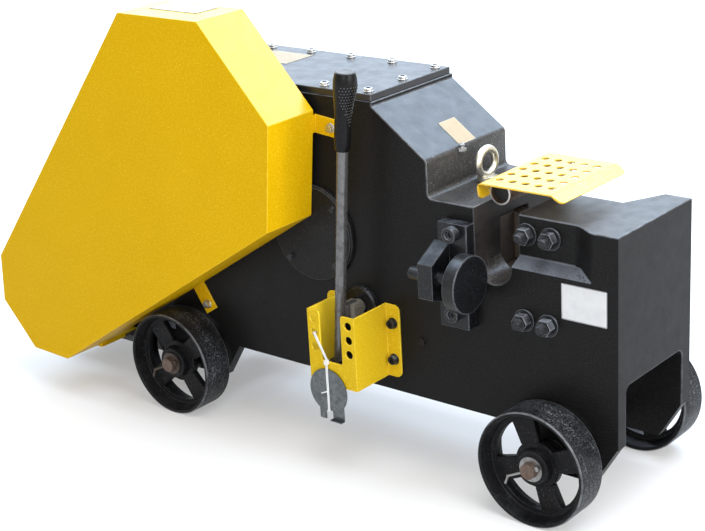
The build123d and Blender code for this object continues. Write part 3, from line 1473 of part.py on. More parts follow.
save("body", make_body())
save("top_cover", make_cover())
save("cover_bolts", *make_cover_bolts())
save("belt_guard", make_guard())
save("guard_bolts", *make_guard_bolts())
save("crank_caps", *crank_caps)
save("shaft_caps", *shaft_caps)
save("cap_bolts", *cap_bolts)
save("crank_bushes", *crank_bushes)
save("shaft_bushes", *shaft_bushes)
save("crankshaft", make_crankshaft())
save("slider_block", make_slider_block())
save("ram", make_ram())
save("moving_blade", make_moving_blade())
save("blade_screw", make_blade_screw())
save("fixed_blade", make_fixed_blade())
save("input_shaft", make_input_shaft())
save("flywheel", make_flywheel())
save("idler_shaft", make_idler_shaft())
save("idler_gear", make_idler_gear())
save("clutch_gear", make_clutch_gear())
save("drive_belts", *make_belts())
save("motor_frame", make_motor_frame())
save("motor_shields", *make_motor_shields())
save("motor_stator", make_stator())
save("motor_rotor", make_motor_rotor())
save("motor_fan", make_motor_fan())
save("fan_cover", make_fan_cover())
save("terminal_box", make_terminal_box())
save("motor_pulley", make_motor_pulley())
save("motor_bolts", *make_motor_bolts())
save("motor_base", make_motor_base())
save("axles", *axles)
save("wheel_front_near", make_wheel(front_axle_x, -1, front_spoke_deg))
save("wheel_front_far", make_wheel(front_axle_x, 1, front_spoke_deg))
save("wheel_rear_near", make_wheel(rear_axle_x, -1, rear_spoke_deg))
save("wheel_rear_far", make_wheel(rear_axle_x, 1, rear_spoke_deg))
save("wheel_washers", *wheel_washers)
save("cotter_pins", *cotters)
save("jaw_studs", *studs)
save("jaw_nuts", *jaw_nuts)
save("jaw_washers", *jaw_washers)
save("cutter_guard", make_flap())
save("guard_hinge", make_hinge())
save("hinge_bolts", *make_hinge_bolts())
save("eye_bolt", make_eye_bolt())
save("grease_nipple", make_nipple())
save("clutch_lever", make_lever())
save("lever_grip", make_grip())
save("lever_pivot", make_lever_pivot())
save("trip_pin", make_trip_pin())
save("link_pin", make_link_pin())
save("trip_flange", make_trip_flange())
save("lever_bracket", make_bracket())
save("bracket_bolts", *make_bracket_bolts())
save("stop_bracket", make_stop_bracket())
save("stop_screws", *make_stop_screws())
save("stop_spindle", make_stop_spindle())
save("spare_plate", make_spare_plate())
save("cable_tie", make_tie())
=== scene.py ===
import json
import logging
import math
from collections.abc import Callable
from dataclasses import dataclass, field, replace
from enum import Enum, IntEnum

import bmesh
import bpy
from mathutils import Matrix, Vector
from mathutils.bvhtree import BVHTree

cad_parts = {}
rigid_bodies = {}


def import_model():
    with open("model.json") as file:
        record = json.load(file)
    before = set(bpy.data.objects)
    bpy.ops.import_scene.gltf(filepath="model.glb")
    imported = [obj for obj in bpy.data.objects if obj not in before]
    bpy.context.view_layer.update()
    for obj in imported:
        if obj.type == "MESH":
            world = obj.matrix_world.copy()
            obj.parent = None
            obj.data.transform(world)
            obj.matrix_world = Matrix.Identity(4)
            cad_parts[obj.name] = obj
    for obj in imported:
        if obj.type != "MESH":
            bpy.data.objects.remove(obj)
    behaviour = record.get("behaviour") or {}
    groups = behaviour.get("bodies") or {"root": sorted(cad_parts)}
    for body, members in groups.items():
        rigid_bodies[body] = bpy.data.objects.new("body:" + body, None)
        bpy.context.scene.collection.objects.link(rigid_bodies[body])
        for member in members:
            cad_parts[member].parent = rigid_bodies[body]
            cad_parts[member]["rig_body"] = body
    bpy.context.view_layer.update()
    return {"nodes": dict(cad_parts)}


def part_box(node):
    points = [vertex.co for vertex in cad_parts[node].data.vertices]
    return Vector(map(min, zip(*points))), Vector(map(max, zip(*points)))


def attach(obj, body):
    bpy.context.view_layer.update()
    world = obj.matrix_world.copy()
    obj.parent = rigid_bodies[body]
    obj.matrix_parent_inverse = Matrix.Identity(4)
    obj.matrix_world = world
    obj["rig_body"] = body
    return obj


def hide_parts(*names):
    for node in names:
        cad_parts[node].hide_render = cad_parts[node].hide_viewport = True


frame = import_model()
LOG = logging.getLogger("bar_cutter")

Colour = tuple[float, float, float]
Point = tuple[float, float, float]
Span = tuple[float, float]
Socket = bpy.types.NodeSocket
Material = bpy.types.Material
Shape = bmesh.types.BMesh
Edge = bmesh.types.BMEdge
Face = bmesh.types.BMFace
Skin = Callable[[Face], int]

# Lengths in metres, and the Z of a normal from which a face counts as an upper one
MM = 0.001
MERGE_GAP = 2e-6
POLE_GAP = 1e-6
LEVEL_GAP = 1e-5
SKY_Z = 2.0
LOOKS_UP = 0.3

# Angles in degrees: faces that count as one, edges that are rounded, edges that stay crisp
FLAT_DEG = 0.4
SHARP_DEG = 32.0
CRISP_DEG = 38.0
PLATE_CRISP_DEG = 1.0

# Rounding: room that it needs in its own widths, and limits for the edges that meet
ROOM_BOTH = 2.2
ROOM_ONE = 1.2
RUNS_ON = -0.7
MANY_CORNERS = 8
MOST_EDGES = 3

# Screw thread: faces round one turn, and its depth as a share of the pitch
RIDGE_STEPS = 24
RIDGE_DEPTH = 0.75


class Grain(Enum):
    """How rough a painted or cast skin is: noise scale per metre and relief in metres."""

    SPRAYED = (420.0, 0.00006)
    POWDER = (330.0, 0.00010)
    SAND_CAST = (190.0, 0.00055)
    ROLLED = (260.0, 0.00004)


class HeadKind(Enum):
    """Shape of a bolt head."""

    SOCKET = "socket"
    HEXAGON = "hexagon"


class BodySkin(IntEnum):
    """Number of each finish on the body."""

    WALL = 0
    TOP = 1
    LEDGE = 2
    RECESS = 3
    SLIDEWAY = 4


class FlapSkin(IntEnum):
    """Number of each finish on the cutter guard."""

    SHEET = 0
    TUBE = 1
    TUBE_END = 2


class Facing(Enum):
    """Direction in which a plate or a turned piece faces."""

    FRONT = (0.0, -1.0, 0.0)
    BACK = (0.0, 1.0, 0.0)
    UP = (0.0, 0.0, 1.0)

    @property
    def way(self) -> Vector:
        """The direction as a vector."""
        return Vector(self.value)


class Shader:
    """Node tree of one material, with short calls for the nodes that the finishes share."""

    def __init__(self, name: str) -> None:
        """Start a material with its surface shader.

        Args:
            name: name of the material.
        """
        self.material = bpy.data.materials.new(name)
        self.material.use_nodes = True
        self.nodes = self.material.node_tree.nodes
        self.links = self.material.node_tree.links
        self.surface = self.nodes["Principled BSDF"]
        self.place = self.nodes.new("ShaderNodeTexCoord").outputs["Object"]

    def feed(self, socket: Socket, value: Socket | float | tuple) -> None:
        """Link a socket to an input, or write a plain value on it.

        Args:
            socket: input that takes the value.
            value: another node's output, a number, or a colour.
        """
        if isinstance(value, Socket):
            self.links.new(value, socket)
        elif isinstance(value, tuple) and socket.type == "RGBA":
            socket.default_value = (*value, 1.0)
        else:
            socket.default_value = value

    def add(self, kind: str, inputs: dict, **settings: str | bool) -> bpy.types.Node:
        """Add a node.

        Args:
            kind: Blender's name of the node type.
            inputs: values or outputs by input name or number.
            settings: properties of the node itself.

        Returns:
            The new node.
        """
        node = self.nodes.new(kind)
        for key, value in settings.items():
            setattr(node, key, value)
        for key, value in inputs.items():
            self.feed(node.inputs[key], value)
        return node

    def stretched(self, stretch: Point) -> Socket:
        """Object coordinates scaled by axis, for streaks and brushed grain."""
        return self.add("ShaderNodeMapping", {"Vector": self.place, "Scale": stretch}).outputs["Vector"]

    def noise(self, scale: float, detail: float = 3.0, stretch: Point | None = None) -> Socket:
        """Cloudy noise.

        Args:
            scale: waves per metre.
            detail: octaves.
            stretch: scale by axis, where the pattern is drawn out.

        Returns:
            The noise value's output.
        """
        place = self.stretched(stretch) if stretch else self.place
        inputs = {"Vector": place, "Scale": scale, "Detail": detail, "Roughness": 0.6}
        return self.add("ShaderNodeTexNoise", inputs).outputs["Fac"]

    def cells(self, scale: float) -> bpy.types.Node:
        """Cell pattern, as on galvanised sheet."""
        return self.add("ShaderNodeTexVoronoi", {"Vector": self.place, "Scale": scale})

    def band(self, value: Socket, low: float, high: float, top: float = 1.0) -> Socket:
        """Map a value so that low becomes 0 and high becomes top, held at both ends."""
        inputs = {"Value": value, "From Min": low, "From Max": high, "To Min": 0.0, "To Max": top}
        return self.add("ShaderNodeMapRange", inputs, clamp=True).outputs["Result"]

    def spread(self, value: Socket, low: float, high: float) -> Socket:
        """Map a noise value's middle range to the span from low to high."""
        inputs = {"Value": value, "From Min": 0.3, "From Max": 0.7, "To Min": low, "To Max": high}
        return self.add("ShaderNodeMapRange", inputs, clamp=True).outputs["Result"]

    def sums(self, kind: str, first: Socket | float, second: Socket | float = 0.0) -> Socket:
        """One step of arithmetic on values that vary over the surface."""
        return self.add("ShaderNodeMath", {0: first, 1: second}, operation=kind).outputs["Value"]

    def hypot(self, first: Socket, second: Socket) -> Socket:
        """Distance from two lengths at right angles that vary over the surface."""
        squares = [self.sums("MULTIPLY", side, side) for side in (first, second)]
        return self.sums("SQRT", self.sums("ADD", *squares))

    def mix(self, share: Socket, first: Socket | Colour, second: Socket | Colour) -> Socket:
        """Blend two colours by a share that varies over the surface."""
        inputs = {0: share, 6: first, 7: second}
        return self.add("ShaderNodeMix", inputs, data_type="RGBA").outputs[2]

    def axis(self, letter: str) -> Socket:
        """One Object coordinate by its letter."""
        return self.add("ShaderNodeSeparateXYZ", {"Vector": self.place}).outputs[letter]

    def upward(self) -> Socket:
        """How far the surface faces up.

        Returns:
            The output that goes from 0 to 1.
        """
        normal = self.nodes.new("ShaderNodeNewGeometry").outputs["Normal"]
        height = self.add("ShaderNodeSeparateXYZ", {"Vector": normal}).outputs["Z"]
        return self.band(height, 0.2, 0.95)

    def marked(self, name: str) -> Socket:
        """1 on the faces that a dressed piece marks with that name and 0 elsewhere."""
        return self.add("ShaderNodeAttribute", {}, attribute_name=name).outputs["Fac"]

    def relief(self, height: Socket, depth: float, under: Socket | None = None) -> Socket:
        """Bump normal.

        Args:
            height: pattern from 0 to 1.
            depth: its relief in metres.
            under: normal that it lies on.

        Returns:
            The normal's output.
        """
        inputs = {"Height": height, "Distance": depth, "Strength": 1.0}
        if under:
            inputs["Normal"] = under
        return self.add("ShaderNodeBump", inputs).outputs["Normal"]

    def finish(self, colour: Socket, roughness: Socket | float, normal: Socket | None, specular: float,
               metallic: float = 0.0) -> Material:
        """Join what was made to the surface shader.

        Args:
            colour: base colour.
            roughness: roughness from 0 to 1.
            normal: bump normal, where there is one.
            specular: strength of the reflection.
            metallic: 1 for bare metal and 0 for paint.

        Returns:
            The material.
        """
        inputs = {
            "Base Color": colour, "Roughness": roughness, "Specular IOR Level": specular,
            "Metallic": metallic}
        if normal:
            inputs["Normal"] = normal
        for key, value in inputs.items():
            self.feed(self.surface.inputs[key], value)
        return self.material


@dataclass(frozen=True)
class Finish:
    """A named finish that stands for one of the record's material slots."""

    name: str
    slot: str
    colour: Colour

    def material(self) -> Material:
        """The finish's material, made at its first use."""
        found = bpy.data.materials.get(self.name)
        return found if found else self.make()

    def make(self) -> Material:
        """Build the material; each kind of finish has its own."""
        raise NotImplementedError


@dataclass(frozen=True)
class Paint(Finish):
    """Paint on metal: slow drift of colour, fine grain, dust on the tops and rubbed edges; painted glints, a
    painted sheen on the tops and a painted highlight on the edges lie over them.
    """

    drift: Colour = (0.5, 0.5, 0.5)
    bare_and_highlight: Colour = (0.20, 0.19, 0.18)
    dust_colour: Colour = (0.30, 0.29, 0.27)
    gloss: Span = (0.34, 0.52)
    specular: float = 0.5
    grain: Grain = Grain.SPRAYED
    edge_rub_and_highlight: float = 0.35
    # amount of the dust colour on the upper faces; where it is large it is a painted highlight
    dust: float = 0.12
    speckle: float = 0.06
    painted_glints: float = 0.0
    pits: float = 0.0
    pit_colour: Colour = (0.004, 0.004, 0.004)

    def colours(self, shader: Shader) -> Socket:
        """Base colour with its drift, speckle, painted glints, pits, dust with a painted sheen on the tops,
        and rubbed edges that are partly a painted highlight.

        Args:
            shader: node tree that takes the nodes.

        Returns:
            The colour's output.
        """
        colour = shader.mix(shader.spread(shader.noise(7.0), 0.0, 1.0), self.colour, self.drift)
        specks = shader.band(shader.noise(self.grain.value[0], 2.0), 0.50, 0.70, self.speckle)
        colour = shader.mix(specks, colour, self.dust_colour)
        # painted glints: light dots in the rubbed-edge colour stand for highlights on the grain
        if self.painted_glints:
            glints = shader.band(shader.noise(470.0, 1.0), 0.64, 0.72, self.painted_glints)
            glints = shader.sums("MULTIPLY", glints, shader.band(shader.noise(21.0, 3.0), 0.36, 0.58))
            colour = shader.mix(glints, colour, self.bare_and_highlight)
        if self.pits:
            colour = shader.mix(self.pitting(shader), colour, self.pit_colour)
        # upper faces take the dust colour: dust on most paints, and a strong bluish painted highlight on the
        # blackened steel and the stop
        dust_and_sheen = shader.band(shader.noise(38.0, 5.0), 0.42, 0.8, self.dust)
        colour = shader.mix(shader.sums("MULTIPLY", shader.upward(), dust_and_sheen), colour, self.dust_colour)
        # rounded edges take the rubbed-edge colour: real paint rubbed off, and a painted highlight along the
        # edge
        rubbed = shader.band(shader.noise(48.0, 5.0), 0.22, 0.64, self.edge_rub_and_highlight)
        return shader.mix(shader.sums("MULTIPLY", shader.marked("edge_wear_and_highlight"), rubbed), colour, self.bare_and_highlight)

    def pitting(self, shader: Shader) -> Socket:
        """Share of small dark pits, gathered in patches."""
        pits = shader.band(shader.noise(260.0, 2.0), 0.55, 0.63, self.pits)
        return shader.sums("MULTIPLY", pits, shader.band(shader.noise(24.0, 3.0), 0.42, 0.62))

    def skin(self, shader: Shader) -> Socket:
        """Grain of the paint as a bump normal.

        Args:
            shader: node tree that takes the nodes.

        Returns:
            The normal's output.
        """
        scale, depth = self.grain.value
        slow = shader.relief(shader.noise(scale / 9, 2.0), depth * 1.2)
        return shader.relief(shader.noise(scale, 2.0), depth, slow)

    def make(self) -> Material:
        """Build the painted material.

        Returns:
            The material.
        """
        shader = Shader(self.name)
        roughness = shader.spread(shader.noise(46.0, 4.0), *self.gloss)
        if self.pits:
            roughness = shader.sums("ADD", roughness, self.pitting(shader))
        return shader.finish(self.colours(shader), roughness, self.skin(shader), self.specular)


@dataclass(frozen=True)
class CastingPaint(Paint):
    """Body paint, rubbed to brown metal inside the throat and gritty on the ledge."""

    throat_x: float = 0.407
    throat_z: float = 0.3824
    throat_r: float = 0.0329
    throat_fade: Span = (0.0004, -0.0001)
    grit_fade: Span = (0.012, -0.018)
    patina: Colour = (0.019, 0.0165, 0.0155)
    streak: Colour = (0.036, 0.031, 0.028)
    grit: Colour = (0.150, 0.136, 0.130)

    def throat(self, shader: Shader) -> Socket:
        """Share of bare metal: the walls of the U throat, broken up by noise.

        Args:
            shader: node tree that takes the nodes.

        Returns:
            The output that goes from 0 to 1.
        """
        across = shader.sums("SUBTRACT", shader.axis("X"), self.throat_x)
        below = shader.sums("MINIMUM", shader.sums("SUBTRACT", shader.axis("Z"), self.throat_z), 0.0)
        reach = shader.hypot(across, below)
        inside = shader.band(reach, *(self.throat_r + fade for fade in self.throat_fade))
        return shader.sums("MULTIPLY", inside, shader.band(shader.noise(22.0, 4.0), 0.26, 0.52))

    def colours(self, shader: Shader) -> Socket:
        """Paint colours with the throat's brown metal laid over them.

        Args:
            shader: node tree that takes the nodes.

        Returns:
            The colour's output.
        """
        streaks = shader.spread(shader.noise(70.0, 4.0, (0.5, 0.3, 1.0)), 0.0, 1.0)
        brown = shader.mix(streaks, self.patina, self.streak)
        low = shader.band(shader.axis("Z"), *(self.throat_z + fade for fade in self.grit_fade))
        grit = shader.sums("MULTIPLY", low, shader.band(shader.noise(280.0, 3.0), 0.42, 0.62, 0.85))
        brown = shader.mix(grit, brown, self.grit)
        return shader.mix(self.throat(shader), Paint.colours(self, shader), brown)


@dataclass(frozen=True)
class WheelPaint(Paint):
    """Black on a rough casting, scuffed to grey metal on the tread."""

    scuff: Colour = (0.190, 0.205, 0.230)

    def colours(self, shader: Shader) -> Socket:
        """Paint colours with scuffs on the tread.

        Args:
            shader: node tree that takes the nodes.

        Returns:
            The colour's output.
        """
        grit = shader.band(shader.noise(400.0, 3.0), 0.50, 0.64)
        rings = shader.band(shader.noise(130.0, 4.0, (0.06, 1.0, 0.06)), 0.34, 0.62)
        edge_mark = shader.sums("MULTIPLY", rings, shader.band(shader.noise(26.0, 4.0), 0.30, 0.62))
        scratches = shader.sums("MULTIPLY", grit, edge_mark)
        share = shader.sums("MULTIPLY", shader.marked("tread"), scratches)
        return shader.mix(share, Paint.colours(self, shader), self.scuff)


@dataclass(frozen=True)
class Metal(Finish):
    """Bare or plated metal: drawn grain, clouded gloss and a tint that gathers in patches."""

    tint: Colour = (0.4, 0.4, 0.4)
    gloss: Span = (0.28, 0.48)
    metallic: float = 1.0
    drawn: Point = (1.0, 1.0, 1.0)
    fine: float = 700.0
    depth: float = 0.00003
    patches: Span = (0.45, 0.75)
    specular: float = 0.5

    def make(self) -> Material:
        """Build the metal.

        Returns:
            The material.
        """
        shader = Shader(self.name)
        cloud = shader.band(shader.noise(90.0, 5.0), *self.patches)
        grain = shader.noise(self.fine, 2.0, self.drawn)
        colour = shader.mix(cloud, self.colour, self.tint)
        colour = shader.mix(shader.band(grain, 0.5, 0.85, 0.35), colour, self.tint)
        rough = shader.sums("ADD", shader.spread(grain, *self.gloss), shader.band(cloud, 0.0, 1.0, 0.12))
        return shader.finish(colour, rough, shader.relief(grain, self.depth), self.specular, self.metallic)


@dataclass(frozen=True)
class Spangle(Metal):
    """Hot-dip zinc with its crystal pattern."""

    streak: Colour = (0.14, 0.14, 0.135)

    def make(self) -> Material:
        """Build the galvanised sheet.

        Returns:
            The material.
        """
        shader = Shader(self.name)
        cells = shader.cells(170.0).outputs["Color"]
        shade = shader.add("ShaderNodeSeparateColor", {"Color": cells}).outputs["Red"]
        colour = shader.mix(shader.band(shade, 0.0, 1.0), self.colour, self.tint)
        streak = shader.noise(80.0, 4.0)
        colour = shader.mix(shader.band(streak, 0.55, 0.8, 0.4), colour, self.streak)
        rough = shader.sums("ADD", shader.spread(streak, *self.gloss), shader.band(shade, 0.0, 1.0, 0.15))
        return shader.finish(colour, rough, shader.relief(streak, self.depth), self.specular, self.metallic)


@dataclass(frozen=True)
class Moulded(Finish):
    """Rubber or plastic: faint mottling and a fine moulded skin."""

    drift: Colour = (0.03, 0.03, 0.03)
    dust_colour: Colour = (0.22, 0.21, 0.20)
    gloss: Span = (0.6, 0.8)
    fine: float = 900.0
    depth: float = 0.00005
    specular: float = 0.4

    def make(self) -> Material:
        """Build the moulded material.

        Returns:
            The material.
        """
        shader = Shader(self.name)
        colour = shader.mix(shader.spread(shader.noise(55.0, 4.0), 0.0, 1.0), self.colour, self.drift)
        dust = shader.band(shader.noise(140.0, 4.0), 0.5, 0.8, 0.25)
        colour = shader.mix(shader.sums("MULTIPLY", shader.upward(), dust), colour, self.dust_colour)
        rough = shader.spread(shader.noise(120.0), *self.gloss)
        skin = shader.relief(shader.noise(self.fine, 2.0), self.depth)
        return shader.finish(colour, rough, skin, self.specular)


# Body black in two copies: a darker one on the walls as painted shade, and a lighter, glossier one on the
# upper faces as painted light
BODY_SHADED_WALL_BLACK = CastingPaint(
    "body_wall_shade_paint", "black_paint", (0.0046, 0.0045, 0.0046), drift=(0.0062, 0.0062, 0.0065),
    bare_and_highlight=(0.20, 0.21, 0.23), gloss=(0.34, 0.46), specular=0.11, edge_rub_and_highlight=0.42, dust=0.05,
    speckle=0.035, painted_glints=0.04)
BODY_LIT_TOP_BLACK = CastingPaint(
    "body_lit_top_paint", "black_paint", (0.0075, 0.0075, 0.008), drift=(0.011, 0.011, 0.012),
    bare_and_highlight=(0.22, 0.23, 0.25), gloss=(0.27, 0.38), specular=0.43, edge_rub_and_highlight=0.42, dust=0.10,
    speckle=0.04, painted_glints=0.10)
GRIT_BLACK = CastingPaint(
    "gritty_black_paint", "black_paint", (0.022, 0.021, 0.020), drift=(0.040, 0.038, 0.036),
    bare_and_highlight=(0.34, 0.34, 0.35), dust_colour=(0.16, 0.155, 0.15), specular=0.34,
    grain=Grain.SAND_CAST, edge_rub_and_highlight=0.5, dust=0.25, speckle=0.16, painted_glints=0.8)
# Upward faces of the jaw's recess: pitted gritty paint, with a lighter bluish tone that is a painted sky
# highlight
RECESS_LIT_FLOOR_BLACK = CastingPaint(
    "recess_floor_lit_paint", "black_paint", (0.066, 0.072, 0.086), drift=(0.088, 0.095, 0.112),
    bare_and_highlight=(0.16, 0.17, 0.19), dust_colour=(0.14, 0.15, 0.17), gloss=(0.30, 0.44), specular=0.45,
    grain=Grain.POWDER, edge_rub_and_highlight=0.5, dust=0.2, speckle=0.10, pits=0.9)
CAP_BLACK = Paint(
    "cap_black_paint", "black_paint", (0.0055, 0.0055, 0.0058), drift=(0.008, 0.008, 0.0085),
    bare_and_highlight=(0.12, 0.125, 0.135), gloss=(0.32, 0.46), specular=0.14, grain=Grain.SAND_CAST, edge_rub_and_highlight=0.45, dust=0.1,
    speckle=0.03, painted_glints=0.06)
COVER_BLACK = Paint(
    "cover_black_paint", "black_paint", (0.010, 0.010, 0.011), drift=(0.013, 0.013, 0.015),
    bare_and_highlight=(0.16, 0.165, 0.175), gloss=(0.28, 0.38), specular=0.36, grain=Grain.ROLLED, edge_rub_and_highlight=0.5, dust=0.10,
    speckle=0.03)
FITTING_BLACK = Paint(
    "fitting_black_paint", "black_paint", (0.009, 0.009, 0.010), drift=(0.013, 0.013, 0.015),
    bare_and_highlight=(0.15, 0.15, 0.16), gloss=(0.30, 0.44), specular=0.34, grain=Grain.SAND_CAST, edge_rub_and_highlight=0.6, dust=0.2,
    speckle=0.08, painted_glints=0.3)
# Stop black: its heavy bluish dust on the upper faces is mostly a painted sky highlight, and its glints are
# painted
STOP_BLACK = Paint(
    "stop_black_paint", "black_paint", (0.0050, 0.0052, 0.0058), drift=(0.0080, 0.0084, 0.0095),
    bare_and_highlight=(0.13, 0.142, 0.162), dust_colour=(0.085, 0.096, 0.116), gloss=(0.22, 0.34), specular=0.26,
    edge_rub_and_highlight=0.5, dust=0.9, speckle=0.03, painted_glints=0.35)
MOTOR_BLACK = Paint(
    "motor_black_paint", "motor_paint", (0.020, 0.020, 0.022), drift=(0.026, 0.026, 0.028),
    bare_and_highlight=(0.15, 0.15, 0.15), gloss=(0.36, 0.52), specular=0.45, edge_rub_and_highlight=0.45, dust=0.2,
    speckle=0.05)
WHEEL_BLACK = WheelPaint(
    "wheel_black_cast", "wheel_paint", (0.0050, 0.0050, 0.0055), drift=(0.008, 0.008, 0.009),
    bare_and_highlight=(0.26, 0.27, 0.29), dust_colour=(0.13, 0.135, 0.145), gloss=(0.30, 0.48), specular=0.11,
    grain=Grain.SAND_CAST, edge_rub_and_highlight=0.6, dust=0.12, speckle=0.04, painted_glints=0.3)
# Guard yellow: its lighter yellow edge colour is a painted highlight on the edges, and its pale specks are
# partly painted glints on the grain
GUARD_YELLOW = Paint(
    "guard_yellow_paint", "yellow_paint", (0.655, 0.384, 0.0012), drift=(0.630, 0.366, 0.0012),
    bare_and_highlight=(0.86, 0.60, 0.05), dust_colour=(0.84, 0.55, 0.02), gloss=(0.32, 0.44), specular=0.04,
    grain=Grain.POWDER, edge_rub_and_highlight=0.7, dust=0.04, speckle=0.5, painted_glints=0.6)
# Lighter, glossier copy of the guard yellow for its upper faces: painted light on the tops
GUARD_LIT_TOP_YELLOW = Paint(
    "guard_lit_top_paint", "yellow_paint", (0.700, 0.425, 0.004), drift=(0.685, 0.410, 0.004),
    bare_and_highlight=(0.72, 0.46, 0.03), dust_colour=(0.88, 0.62, 0.06), gloss=(0.28, 0.38), specular=0.42,
    grain=Grain.POWDER, edge_rub_and_highlight=0.4, dust=0.04, speckle=0.12)
BRACKET_YELLOW = replace(
    GUARD_YELLOW, name="bracket_yellow_paint", colour=(0.650, 0.428, 0.012), drift=(0.625, 0.408, 0.012),
    bare_and_highlight=(0.86, 0.66, 0.08), dust_colour=(0.84, 0.60, 0.04))
# Much lighter copy of the bracket yellow for the inner wall of its left flange: painted light that stands in
# for light bounced off the other wall
BRACKET_LIT_WALL_YELLOW = replace(
    GUARD_YELLOW, name="bracket_wall_painted_light", colour=(0.930, 0.660, 0.030),
    drift=(0.900, 0.630, 0.030), bare_and_highlight=(0.95, 0.75, 0.10), dust_colour=(0.95, 0.72, 0.06))
FLAP_YELLOW = Paint(
    "flap_yellow_paint", "yellow_paint", (0.720, 0.440, 0.006), drift=(0.700, 0.420, 0.006),
    bare_and_highlight=(0.50, 0.32, 0.08), dust_colour=(0.92, 0.70, 0.20), gloss=(0.24, 0.34), specular=0.60,
    grain=Grain.POWDER, edge_rub_and_highlight=0.3, dust=0.08, speckle=0.2)
BLADE_STEEL = Metal(
    "worn_blade_steel", "tool_steel", (0.100, 0.079, 0.066), tint=(0.068, 0.051, 0.042), gloss=(0.40, 0.56),
    metallic=0.1, drawn=(1.0, 0.3, 1.0), specular=0.3)
RAM_STEEL = Metal(
    "oiled_ram_steel", "machine_steel", (0.080, 0.063, 0.053), tint=(0.055, 0.041, 0.034), gloss=(0.36, 0.52),
    metallic=0.1, specular=0.3)
MACHINE_STEEL = Metal(
    "oiled_machine_steel", "machine_steel", (0.40, 0.39, 0.38), tint=(0.20, 0.18, 0.15), gloss=(0.25, 0.42))
AXLE_STEEL = Metal(
    "sawn_axle_steel", "machine_steel", (0.140, 0.100, 0.080), tint=(0.085, 0.050, 0.036), gloss=(0.42, 0.62),
    metallic=0.6)
ZINC = Metal(
    "zinc_plated_steel", "zinc_steel", (0.60, 0.60, 0.59), tint=(0.42, 0.41, 0.38), gloss=(0.22, 0.38))
WASHER_ZINC = Metal(
    "dull_washer_zinc", "zinc_steel", (0.30, 0.30, 0.30), tint=(0.18, 0.175, 0.165), gloss=(0.34, 0.52))
RUSTED_ZINC = Metal(
    "rusted_washer_zinc", "zinc_steel", (0.075, 0.058, 0.048), tint=(0.045, 0.030, 0.022), gloss=(0.42, 0.60),
    metallic=0.5)
LEVER_ZINC = Metal(
    "drawn_lever_steel", "zinc_steel", (0.128, 0.128, 0.130), tint=(0.064, 0.062, 0.061), gloss=(0.18, 0.30),
    drawn=(1.0, 1.0, 0.10), fine=420.0, patches=(0.48, 0.74), metallic=0.6)
PIN_STEEL = Metal(
    "oily_pin_steel", "zinc_steel", (0.39, 0.37, 0.33), tint=(0.23, 0.21, 0.18), gloss=(0.22, 0.36),
    drawn=(1.0, 0.2, 1.0), metallic=0.60)
EYE_ZINC = Metal(
    "pale_zinc_eye", "zinc_steel", (0.78, 0.77, 0.73), tint=(0.66, 0.62, 0.50), gloss=(0.24, 0.36),
    patches=(0.42, 0.62))
GALVANISED = Spangle(
    "galvanised_sheet", "zinc_steel", (0.150, 0.164, 0.171), tint=(0.102, 0.112, 0.118), gloss=(0.26, 0.40))
TUBE_STEEL = Metal(
    "bare_hinge_tube", "yellow_paint", (0.15, 0.095, 0.062), tint=(0.085, 0.050, 0.032), gloss=(0.38, 0.56),
    metallic=0.6, patches=(0.40, 0.62))
TUBE_END = Metal(
    "cut_tube_end", "yellow_paint", (0.58, 0.57, 0.56), tint=(0.36, 0.35, 0.34), gloss=(0.26, 0.40))
# Blackened steel: its dust colour covers the upper faces fully, a bluish painted highlight that makes the nut
# tops lighter than their sides
BLACK_STEEL = Paint(
    "blackened_steel", "black_steel", (0.0090, 0.0096, 0.0110), drift=(0.016, 0.017, 0.0195),
    bare_and_highlight=(0.17, 0.182, 0.205), dust_colour=(0.165, 0.178, 0.205), gloss=(0.22, 0.36), specular=0.24,
    grain=Grain.ROLLED, edge_rub_and_highlight=0.9, dust=2.2, speckle=0.05)
# Dark steel on the socket walls and floors of bolt heads: painted shade in the hollow
SOCKET_PAINTED_SHADE = Metal(
    "shaded_socket_steel", "zinc_steel", (0.022, 0.022, 0.022), tint=(0.045, 0.040, 0.036), gloss=(0.5, 0.7),
    metallic=0.2, specular=0.2)
CAST_IRON = Metal(
    "machined_cast_iron", "cast_iron", (0.16, 0.16, 0.165), tint=(0.10, 0.085, 0.075), gloss=(0.40, 0.6),
    metallic=0.8)
BRONZE = Metal("bearing_bronze", "bronze", (0.52, 0.36, 0.17), tint=(0.36, 0.24, 0.11), gloss=(0.28, 0.44))
GRIP_RUBBER = Moulded(
    "grip_rubber", "rubber", (0.0040, 0.0040, 0.0045), drift=(0.006, 0.006, 0.0065), gloss=(0.24, 0.36),
    specular=0.14)
# Lighter, glossier copy of the grip rubber for the studs: partly a painted highlight on them
STUD_RUBBER = Moulded(
    "grip_stud_rubber", "rubber", (0.012, 0.012, 0.013), drift=(0.018, 0.018, 0.019), gloss=(0.16, 0.26),
    specular=0.7)
CAP_RUBBER = Moulded(
    "grip_cap_rubber", "rubber", (0.10, 0.105, 0.11), drift=(0.20, 0.205, 0.21), gloss=(0.36, 0.55),
    fine=500.0, depth=0.00012)
BELT_RUBBER = Moulded("belt_rubber", "belt_rubber", (0.022, 0.022, 0.022), drift=(0.032, 0.031, 0.030))
TIE_NYLON = Moulded(
    "tie_nylon", "tie_plastic", (0.78, 0.79, 0.80), drift=(0.70, 0.71, 0.72), gloss=(0.3, 0.45),
    depth=0.00002)
PLATE_WHITE = Moulded(
    "bare_white_plate", "zinc_steel", (0.66, 0.67, 0.68), drift=(0.58, 0.59, 0.60), gloss=(0.32, 0.46),
    depth=0.00002)
PLATE_PALE = Moulded(
    "bare_pale_plate", "zinc_steel", (0.46, 0.455, 0.42), drift=(0.41, 0.405, 0.37), gloss=(0.34, 0.48),
    depth=0.00002, specular=0.25)
